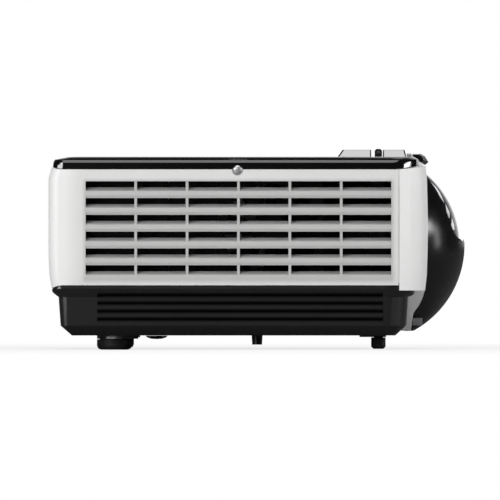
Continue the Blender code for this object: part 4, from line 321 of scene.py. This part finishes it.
# Optical engine: one aluminium pressure die casting, shot blasted, with the extruded heat sink
# of the mirror chip at its back and the colour wheel on its small steel motor beside it.
CASTING_ROUNDING = 0.0004
FIN_ROUNDING = 0.0001
MOTOR_ROUNDING = 0.0003
cast_aluminium, place, shader = finish("cast_aluminium", {"Metallic": 1.0})
blasted = place.noise(1300.0, 3.0)
cloudy = place.noise(35.0, 3.0)
feed(shader, {
    "Base Color": cloudy.blend((0.44, 0.44, 0.45), (0.60, 0.60, 0.60)),
    "Roughness": 0.42 + blasted * 0.22,
    "Normal": bumped(blasted, 0.7, 9e-5),
})
refined("optical_engine", "case", cast_aluminium, CASTING_ROUNDING)
refined("chip_heat_sink", "case", cast_aluminium, FIN_ROUNDING)
screw_steel, place, shader = finish("screw_steel", {"Metallic": 1.0})
rolled = place.noise(900.0)
stains = place.noise(60.0, 3.0)
feed(shader, {
    "Base Color": stains.blend((0.50, 0.50, 0.51), (0.64, 0.64, 0.64)),
    "Roughness": 0.20 + rolled * 0.16 + stains * 0.06,
    "Normal": bumped(rolled, 0.25, 2e-5),
})
refined("colour_wheel_motor", "case", screw_steel, MOTOR_ROUNDING)
wheel_glass, place, shader = finish("wheel_glass", {"Transmission Weight": 0.35})
wheel_low, wheel_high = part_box("colour_wheel")
middle = (wheel_low + wheel_high) / 2
centred = place.node("ShaderNodeMapping", None, {"Vector": place, "Location": tuple(-middle)})
turned_to = centred.node("ShaderNodeMapping", None, {
    "Vector": centred, "Rotation": (0.0, math.radians(90.0), 0.0)})
round_about = turned_to.node("ShaderNodeTexGradient", {"gradient_type": "RADIAL"}, {
    "Vector": turned_to}, "Fac")
segments = round_about.node("ShaderNodeValToRGB", {"stops": [
    (0.0, (0.45, 0.03, 0.02)), (0.25, (0.03, 0.30, 0.05)), (0.5, (0.03, 0.06, 0.45)),
    (0.75, (0.55, 0.50, 0.06)), (0.9, (0.5, 0.5, 0.5))]}, {"Fac": round_about})
segments.output.node.color_ramp.interpolation = "CONSTANT"
feed(shader, {"Base Color": segments, "Roughness": 0.03 + place.noise(90.0) * 0.05})
refined("colour_wheel", "colour_wheel", wheel_glass, 0.0)

# Lens: a black anodised barrel that is screwed to the engine, two coated glasses in it, and the
# moulded focus ring, whose lever comes up through the slot in the lid.
BARREL_ROUNDING = 0.0003
LENS_SHARP_ANGLE = math.radians(40.0)
LEVER_ROUNDING = 0.0014
LEVER_TIP_HEIGHT = 0.0034
SAME_X = 1e-5
refined("lens_barrel", "case", satin_black, BARREL_ROUNDING)
lens_glass, place, shader = finish("lens_glass", {"IOR": 1.6, "Transmission Weight": 0.8})
facing = place.node("ShaderNodeLayerWeight", None, {"Blend": 0.35}, "Facing")
coating = facing.node("ShaderNodeValToRGB", {"stops": [
    (0.0, (0.05, 0.06, 0.11)), (0.45, (0.10, 0.05, 0.16)), (1.0, (0.10, 0.22, 0.16))]}, {"Fac": facing})
feed(shader, {"Base Color": coating, "Roughness": 0.01 + place.noise(50.0) * 0.03})
for name in ("front_lens", "inner_lens"):
    refined(name, "case", lens_glass, 0.0, angle=LENS_SHARP_ANGLE)
bm = merged("focus_ring")
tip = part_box("focus_ring")[1].z - LEVER_TIP_HEIGHT
rims = [e for e in bm.edges if min(v.co.z for v in e.verts) > tip
        and abs(e.verts[0].co.x - e.verts[1].co.x) < SAME_X]
bmesh.ops.bevel(bm, geom=rims, offset=LEVER_ROUNDING, offset_type="OFFSET", segments=4, profile=0.5,
                affect="EDGES", material=-1)
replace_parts(part("focus_ring_moulding", bm, "focus_ring", satin_black), "focus_ring")

# White panels: lamp cover, side panel, rear panel and front bezel in white ABS, all with the
# same satin texture, clipped to the base's lip and under the lid.
PANEL_ROUNDING = 0.0003
GRILLE_LOW = Vector((-0.0960, 0.0, 0.0392))
GRILLE_HIGH = Vector((0.0750, 0.0, 0.0940))
GRILLE_FADE = 0.0022
SHADED_MIDDLE_LOW = Vector((-0.0990, 0.0, 0.0))
SHADED_MIDDLE_HIGH = Vector((0.0900, 0.0, 0.0))
SHADED_MIDDLE_FADE = 0.0090
SEAM_LOW = Vector((0.07905, -0.1430, 0.0375))
SEAM_HIGH = Vector((0.07925, -0.1416, 0.0995))
white_shell = moulded("white_shell", (0.735, 0.735, 0.73), (0.69, 0.69, 0.685), 0.42, 3000.0, 3e-5)
louvre_white, place, shader = finish("louvre_white", {"Specular IOR Level": 0.5})
across = place.node("ShaderNodeSeparateXYZ", None, {"Vector": place}, "X")
up = place.node("ShaderNodeSeparateXYZ", None, {"Vector": place}, "Z")
inside_x = between(across, GRILLE_LOW.x, GRILLE_HIGH.x, GRILLE_FADE)
inside_z = between(up, GRILLE_LOW.z, GRILLE_HIGH.z, GRILLE_FADE)
fine = place.noise(3000.0)
slow = place.noise(18.0, 4.0)
# Inside the grille the white is painted much darker, standing in for the shade among the louvre blades:
# painted shade. The same mask makes the blades a little rougher.
grille_shade = inside_x * inside_z * (slow * 0.3 + 0.85)
# The lamp cover's white is painted darker over its middle length than at its ends: painted shade.
shaded_middle = between(across, SHADED_MIDDLE_LOW.x, SHADED_MIDDLE_HIGH.x, SHADED_MIDDLE_FADE)
feed(shader, {
    "Base Color": (shaded_middle * 0.40 + grille_shade * 0.60).blend((0.72, 0.72, 0.715), (0.43, 0.43, 0.425)),
    "Roughness": 0.42 + (slow - 0.5) * 0.16 + grille_shade * 0.15,
    "Normal": bumped(fine, 0.6, 3e-5),
})
refined("lamp_cover", "lamp_cover", louvre_white, PANEL_ROUNDING)
refined("side_panel", "case", white_shell, PANEL_ROUNDING)
refined("rear_panel", "case", white_shell, PANEL_ROUNDING)
refined("front_bezel", "case", white_shell, PANEL_ROUNDING, flat=False)
part("bezel_seam_rib", block(SEAM_LOW, SEAM_HIGH), "case", white_shell)

# Infrared windows: the front one is a pressed-in red acrylic button that only passes infrared,
# the top one a pale moulding behind the visor.
RED_WINDOW_ROUNDING = 0.0003
CLEAR_ROUNDING = 0.0002
infrared_red, place, shader = finish("infrared_red", {"Specular IOR Level": 0.5, "Transmission Weight": 0.3})
cast_in = place.noise(220.0, 3.0)
feed(shader, {"Base Color": cast_in.blend((0.05, 0.002, 0.003), (0.09, 0.004, 0.006)),
              "Roughness": 0.06 + cast_in * 0.06})
refined("front_infrared_window", "case", infrared_red, RED_WINDOW_ROUNDING)
light_pipe, place, shader = finish("light_pipe", {"Specular IOR Level": 0.5})
milky = place.noise(260.0, 3.0)
feed(shader, {"Base Color": milky.blend((0.84, 0.84, 0.85), (0.90, 0.90, 0.90)),
              "Roughness": 0.25 + milky * 0.1})
refined("top_infrared_window", "case", light_pipe, CLEAR_ROUNDING)

# Sockets: bought-in parts on the boards that show in the rear panel. The video and network
# sockets have pressed steel shells, the others nylon bodies.
SOCKET_ROUNDING = 0.0002
INLET_ROUNDING = 0.0003
grey_plastic = moulded("grey_plastic", (0.14, 0.14, 0.15), (0.18, 0.18, 0.19), 0.42, 2200.0, 3e-5)
for name in ("network_socket", "video_socket"):
    refined(name, "case", screw_steel, SOCKET_ROUNDING)
for name in ("audio_in_socket", "audio_out_socket", "serial_socket", "computer_socket"):
    refined(name, "case", grey_plastic, SOCKET_ROUNDING)
refined("power_inlet", "case", satin_black, INLET_ROUNDING)

# Lid: high gloss black ABS in a polished tool, hooked on the rear panel and snapped over the
# side panels, with the two hoods beside the focus slot moulded on. A rib stands behind each seam.
LID_ROUNDING = 0.0005
RIB_LOW = Vector((-0.1090, -0.1400, 0.0992))
RIB_HIGH = Vector((0.0770, -0.1392, 0.1030))


def polished(name, colour, worn, roughness, specular=0.5):
    """Polished black plastic: faint cloudy polish marks and a few fine wiping scratches."""
    made, place, shader = finish(name, {"Specular IOR Level": specular})
    polish = place.noise(25.0, 3.0)
    drawn = place.node("ShaderNodeMapping", None, {"Vector": place, "Scale": (40.0, 900.0, 900.0)})
    wiped = drawn.noise(1.0, 3.0)
    marks = wiped.node("ShaderNodeMapRange", None, {"Value": wiped, "From Min": 0.62, "From Max": 0.8})
    feed(shader, {
        "Base Color": polish.blend(colour, worn),
        "Roughness": roughness + polish * 0.04 + marks * 0.10,
        "Normal": bumped(polish, 0.15, 4e-5),
    })
    return made


gloss_black = polished("gloss_black", (0.0022, 0.0022, 0.0024), (0.0038, 0.0038, 0.004), 0.06, 1.0)
refined("top_cover", "case", gloss_black, LID_ROUNDING, 3)
part("lid_rib_near", block(RIB_LOW, RIB_HIGH), "case", satin_black)
far_rib = block(RIB_LOW, RIB_HIGH)
bmesh.ops.translate(far_rib, vec=(0.0, -(RIB_LOW + RIB_HIGH).y, 0.0), verts=far_rib.verts)
part("lid_rib_far", far_rib, "case", satin_black)

# Captive screw: a turned steel screw with a domed head and a straight slot. It holds the lamp
# cover to the case and stays in the cover when it is undone.
HEAD_RADIUS = 0.0027
SHANK_RADIUS = 0.0015
HEAD_HEIGHT = 0.0013
SCREW_LENGTH = 0.0132
SLOT_WIDTH = 0.0009
SLOT_DEPTH = 0.0010
HEAD_PROFILE = (
    (0.0, 0.0), (0.0010, 0.00006), (0.0018, 0.00025), (0.0023, 0.0005), (HEAD_RADIUS, SLOT_DEPTH),
    (HEAD_RADIUS, HEAD_HEIGHT), (SHANK_RADIUS, HEAD_HEIGHT), (SHANK_RADIUS, SCREW_LENGTH),
    (0.0, SCREW_LENGTH))
HEAD_STEPS = 48
TURNED_WELD = 1e-7
SLOT_WELD = 1e-6
turned_steel, place, shader = finish("turned_steel", {"Metallic": 1.0})
spun = place.noise(1400.0)
feed(shader, {
    "Base Color": spun.blend((0.55, 0.55, 0.56), (0.70, 0.70, 0.70)),
    "Roughness": 0.34 + spun * 0.12,
    "Normal": bumped(spun, 0.3, 2e-5),
})
head_low, head_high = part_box("captive_screw")
axis_x, face_y = (head_low.x + head_high.x) / 2, head_low.y
axis_z = (head_low.z + head_high.z) / 2
bm = bmesh.new()
outline = [bm.verts.new((axis_x + r, face_y + depth, axis_z)) for r, depth in HEAD_PROFILE]
edges = [bm.edges.new(pair) for pair in zip(outline, outline[1:])]
bmesh.ops.spin(bm, geom=outline + edges, cent=(axis_x, 0.0, axis_z), axis=(0.0, 1.0, 0.0),
               angle=2 * math.pi, steps=HEAD_STEPS, use_merge=True)
bmesh.ops.remove_doubles(bm, verts=bm.verts, dist=TURNED_WELD)
for side in (-0.5, 0.5):
    cut_at = (axis_x, face_y, axis_z + side * SLOT_WIDTH)
    bmesh.ops.bisect_plane(bm, geom=bm.verts[:] + bm.edges[:] + bm.faces[:], dist=TURNED_WELD,
                           plane_co=cut_at, plane_no=(0.0, 0.0, 1.0))
sunk = [f for f in bm.faces if abs(f.calc_center_median().z - axis_z) < SLOT_WIDTH / 2
        and max(v.co.y for v in f.verts) < face_y + SLOT_DEPTH + SLOT_WELD]
grown = bmesh.ops.extrude_face_region(bm, geom=sunk)
bmesh.ops.delete(bm, geom=sunk, context="FACES")
for v in grown["geom"]:
    if isinstance(v, bmesh.types.BMVert):
        v.co.y = face_y + SLOT_DEPTH
bmesh.ops.remove_doubles(bm, verts=bm.verts, dist=SLOT_WELD)
bmesh.ops.recalc_face_normals(bm, faces=bm.faces)
screw = part("captive_screw_turned", bm, "captive_screw", turned_steel)
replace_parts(screw, "captive_screw")

# Keypad: a gloss black plate let into the lid, nine moulded rubber-sprung keys that stand in
# it, and the pale strip over the status lights.
KEY_PLATE_ROUNDING = 0.0002
KEY_ROUNDING = 0.0005
refined("keypad_plate", "case", gloss_black, KEY_PLATE_ROUNDING)
for name in ("up", "down", "left", "right", "enter", "power", "auto", "source", "menu"):
    refined(name + "_button", name + "_button", grey_plastic, KEY_ROUNDING, 3)
refined("status_light_strip", "case", light_pipe, CLEAR_ROUNDING)

# Lens dome: a black ABS shell in a polished tool, with its window glass glued in from inside
# and a small grey block set in under it. The CAD nodes' facets are brought out to the true
# ball.
LENS_CENTRE = Vector((0.0618, -0.0450, 0.0586))
DOME_RADIUS = 0.0549
DOME_WALL = 0.0026
GLASS_GAP = 0.0003
GLASS_RADIUS = DOME_RADIUS - DOME_WALL - GLASS_GAP
GLASS_WALL = 0.0020
CHORD_ERROR = 3e-4
LONG_EDGE = 0.0020
SILL_Z = 0.0620
SILL_CHAMFER = 0.0021
SILL_TOLERANCE = 1e-4
DOME_ROUNDING = 0.0004
GLASS_ROUNDING = 0.0003
GREY_BLOCK_LOW = Vector((0.0873, -0.0705, 0.0134))
GREY_BLOCK_HIGH = Vector((0.0927, -0.0195, 0.0177))
GREY_BLOCK_ROUNDING = 0.0005


def brought_round(bm, radius, cuts=3):
    """Bring the faces of a faceted ball out to the true ball, in finer faces."""
    def lift(verts):
        for v in verts:
            v.co = LENS_CENTRE + (v.co - LENS_CENTRE).normalized() * radius

    skin = {v for v in bm.verts if abs((v.co - LENS_CENTRE).length - radius) < CHORD_ERROR}
    lift(skin)
    chords = [e for e in bm.edges if skin.issuperset(e.verts) and e.calc_length() > LONG_EDGE]
    made = bmesh.ops.subdivide_edges(bm, edges=chords, cuts=cuts, use_grid_fill=True)
    lift(v for v in made["geom_inner"] if isinstance(v, bmesh.types.BMVert))


polished_glass, place, shader = finish("dome_glass", {"IOR": 1.5, "Transmission Weight": 0.5})
film = place.noise(40.0, 2.0)
facing = place.node("ShaderNodeLayerWeight", None, {"Blend": 0.3}, "Facing")
feed(shader, {
    "Base Color": facing.blend((0.004, 0.004, 0.005), (0.03, 0.025, 0.04)),
    "Roughness": 0.012 + film * 0.03,
})
dome_black = polished("dome_black", (0.0028, 0.0028, 0.003), (0.0045, 0.0045, 0.005), 0.20)
bm = merged("lens_dome")
sill = [e for e in bm.edges if all(abs(v.co.z - SILL_Z) < SILL_TOLERANCE
        and (v.co - LENS_CENTRE).length > DOME_RADIUS - CHORD_ERROR for v in e.verts)]
bmesh.ops.bevel(bm, geom=sill, offset=SILL_CHAMFER, offset_type="OFFSET", segments=1, profile=0.5,
                affect="EDGES", material=-1)
brought_round(bm, DOME_RADIUS)
dome = part("lens_dome_moulding", bm, "case", dome_black)
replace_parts(dome, "lens_dome")
rounded(dome, DOME_ROUNDING)
bm = merged("dome_glass")
brought_round(bm, GLASS_RADIUS)
brought_round(bm, GLASS_RADIUS - GLASS_WALL)
window = part("dome_glass_pane", bm, "case", polished_glass)
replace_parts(window, "dome_glass")
rounded(window, GLASS_ROUNDING)
bm = block(GREY_BLOCK_LOW, GREY_BLOCK_HIGH)
bmesh.ops.bevel(bm, geom=list(bm.edges), offset=GREY_BLOCK_ROUNDING, offset_type="OFFSET", segments=2,
                profile=0.5, affect="EDGES", material=-1)
part("dome_grey_block", bm, "case", grey_plastic)

# Visor: a bent lip in the lid's gloss black ABS. It clips over the bezel and keeps stray light
# off the window.
VISOR_ROUNDING = 0.0002
VISOR_SHARP_ANGLE = math.radians(20.0)
refined("lens_visor", "case", gloss_black, VISOR_ROUNDING, 2, VISOR_SHARP_ANGLE)

# Studio: a pale floor and a white backdrop. Two key softboxes stand above and to the sides, a low
# one lights the base, two strips hang overhead, a tall strip and three small panes stand at the
# front end for the dome's reflections.
FLOOR_SIZE = 30.0
SHADOW_REACH = 0.22
FLOOR_END = 0.8
NEAR_FLOOR_LIGHT = 0.78
AMBIENT = 0.17
REFLECTED_ROOM = 0.02
floor_mesh = bpy.data.meshes.new("floor")
bm = bmesh.new()
bmesh.ops.create_grid(bm, x_segments=1, y_segments=1, size=FLOOR_SIZE)
bm.to_mesh(floor_mesh)
bm.free()
floor = bpy.data.objects.new("floor", floor_mesh)
bpy.context.scene.collection.objects.link(floor)
floor_paint = bpy.data.materials.new("floor_paint")
floor_paint.use_nodes = True
tree = floor_paint.node_tree
tree.nodes.clear()
path = Wire(tree, tree.nodes.new("ShaderNodeLightPath").outputs["Is Camera Ray"])
spot = Wire(tree, tree.nodes.new("ShaderNodeTexCoord").outputs["Object"])
away = spot.node("ShaderNodeVectorMath", {"operation": "LENGTH"}, {0: spot}, "Value")
far_off = away.node("ShaderNodeMapRange", None, {
    "Value": away, "From Min": SHADOW_REACH, "From Max": FLOOR_END,
    "To Min": NEAR_FLOOR_LIGHT, "To Max": 1.0})
reflected = Wire(tree, path.output.node.outputs["Is Glossy Ray"])
# The floor is painted 0.18 grey for reflected rays and 0.80 for all others: a painted darker reflection of
# the floor.
paint = reflected.blend((0.80, 0.80, 0.80), (0.18, 0.18, 0.18))
matt = path.node("ShaderNodeBsdfDiffuse", None, {"Color": paint})
lit = path.node("ShaderNodeEmission", None, {"Color": (1.0, 1.0, 1.0, 1.0), "Strength": 1.0})
seen = path.node("ShaderNodeMixShader", None, {0: path * far_off, 1: matt, 2: lit})
path.node("ShaderNodeOutputMaterial", None, {"Surface": seen})
floor_mesh.materials.append(floor_paint)

world = bpy.data.worlds.new("studio")
bpy.context.scene.world = world
world.use_nodes = True
tree = world.node_tree
tree.nodes.clear()
light_path = tree.nodes.new("ShaderNodeLightPath")
camera_ray = Wire(tree, light_path.outputs["Is Camera Ray"])
glossy_ray = Wire(tree, light_path.outputs["Is Glossy Ray"])
through_ray = Wire(tree, light_path.outputs["Is Transmission Ray"])
direction = Wire(tree, tree.nodes.new("ShaderNodeTexCoord").outputs["Generated"])
parted = direction.node("ShaderNodeSeparateXYZ", None, {"Vector": direction}, "Y")
behind = parted.node("ShaderNodeMapRange", None, {"Value": parted, "From Min": 0.75, "From Max": 0.95})
height = direction.node("ShaderNodeSeparateXYZ", None, {"Vector": direction}, "Z")
level_low = height.node("ShaderNodeMapRange", None, {"Value": height, "From Min": 0.34, "From Max": 0.12})
shown = camera_ray + through_ray
mirrored = glossy_ray * (behind * level_low * 0.9 + REFLECTED_ROOM)
level = shown + (1.0 - shown) * (mirrored + (1.0 - glossy_ray) * AMBIENT)
backdrop = level.node("ShaderNodeBackground", None, {"Color": (1.0, 1.0, 1.0, 1.0), "Strength": level})
level.node("ShaderNodeOutputWorld", None, {"Surface": backdrop})


def softbox(name, place, size, watts, aim=(0.0, 0.0, 0.06)):
    """A rectangular lamp that faces a point of the projector."""
    lamp = bpy.data.lights.new(name, "AREA")
    lamp.shape = "RECTANGLE"
    lamp.size, lamp.size_y = size
    lamp.energy = watts
    holder = bpy.data.objects.new(name, lamp)
    bpy.context.scene.collection.objects.link(holder)
    holder.location = place
    holder.rotation_euler = (Vector(aim) - Vector(place)).to_track_quat("-Z", "Y").to_euler()


softbox("key_rear", (-1.01, -1.60, 0.72), (1.70, 0.30), 13.5)
softbox("key_front", (1.80, -0.67, 0.62), (1.05, 0.30), 13.5)
softbox("low_rear", (-1.20, -1.60, 0.12), (0.90, 0.22), 11.0)
softbox("overhead", (0.0, -0.45, 1.65), (1.2, 0.36), 10.0)
softbox("front_high", (0.0, -1.06, 1.65), (1.4, 0.34), 3.0)
softbox("flank_strip", (2.0, -0.02, 0.30), (0.24, 0.60), 2.0)
PANE_DISTANCE = 2.0
PANE_SIZE = (0.40, 0.13)
for pane, (heading, rise) in enumerate(((28.5, 19.0), (38.5, 14.0), (37.0, 7.6))):
    turn, lift = math.radians(heading), math.radians(rise)
    way = Vector((math.sin(turn) * math.cos(lift), math.cos(turn) * math.cos(lift), math.sin(lift)))
    softbox(f"pane_{pane}", LENS_CENTRE + way * PANE_DISTANCE, PANE_SIZE, 0.5, LENS_CENTRE)

# Camera: square on to the louvred side, a very long lens, level with the middle of the case.
MM_PER_PIXEL = 0.56
PICTURE = 500
DISTANCE = 12.5
TRUE_SIZE_Y = -0.1100
PICTURE_CENTRE_X = -0.0041
PICTURE_CENTRE_Z = 0.0558
camera = bpy.data.cameras.new("camera")
camera.sensor_width = 36.0
camera.lens = camera.sensor_width * DISTANCE / (PICTURE * MM_PER_PIXEL / 1000.0)
camera.clip_start = 0.1
camera.clip_end = 60.0
viewer = bpy.data.objects.new("camera", camera)
bpy.context.scene.collection.objects.link(viewer)
viewer.location = (PICTURE_CENTRE_X, TRUE_SIZE_Y - DISTANCE, PICTURE_CENTRE_Z)
viewer.rotation_euler = (math.radians(90.0), 0.0, 0.0)
bpy.context.scene.camera = viewer
bpy.context.scene.view_settings.view_transform = "Standard"
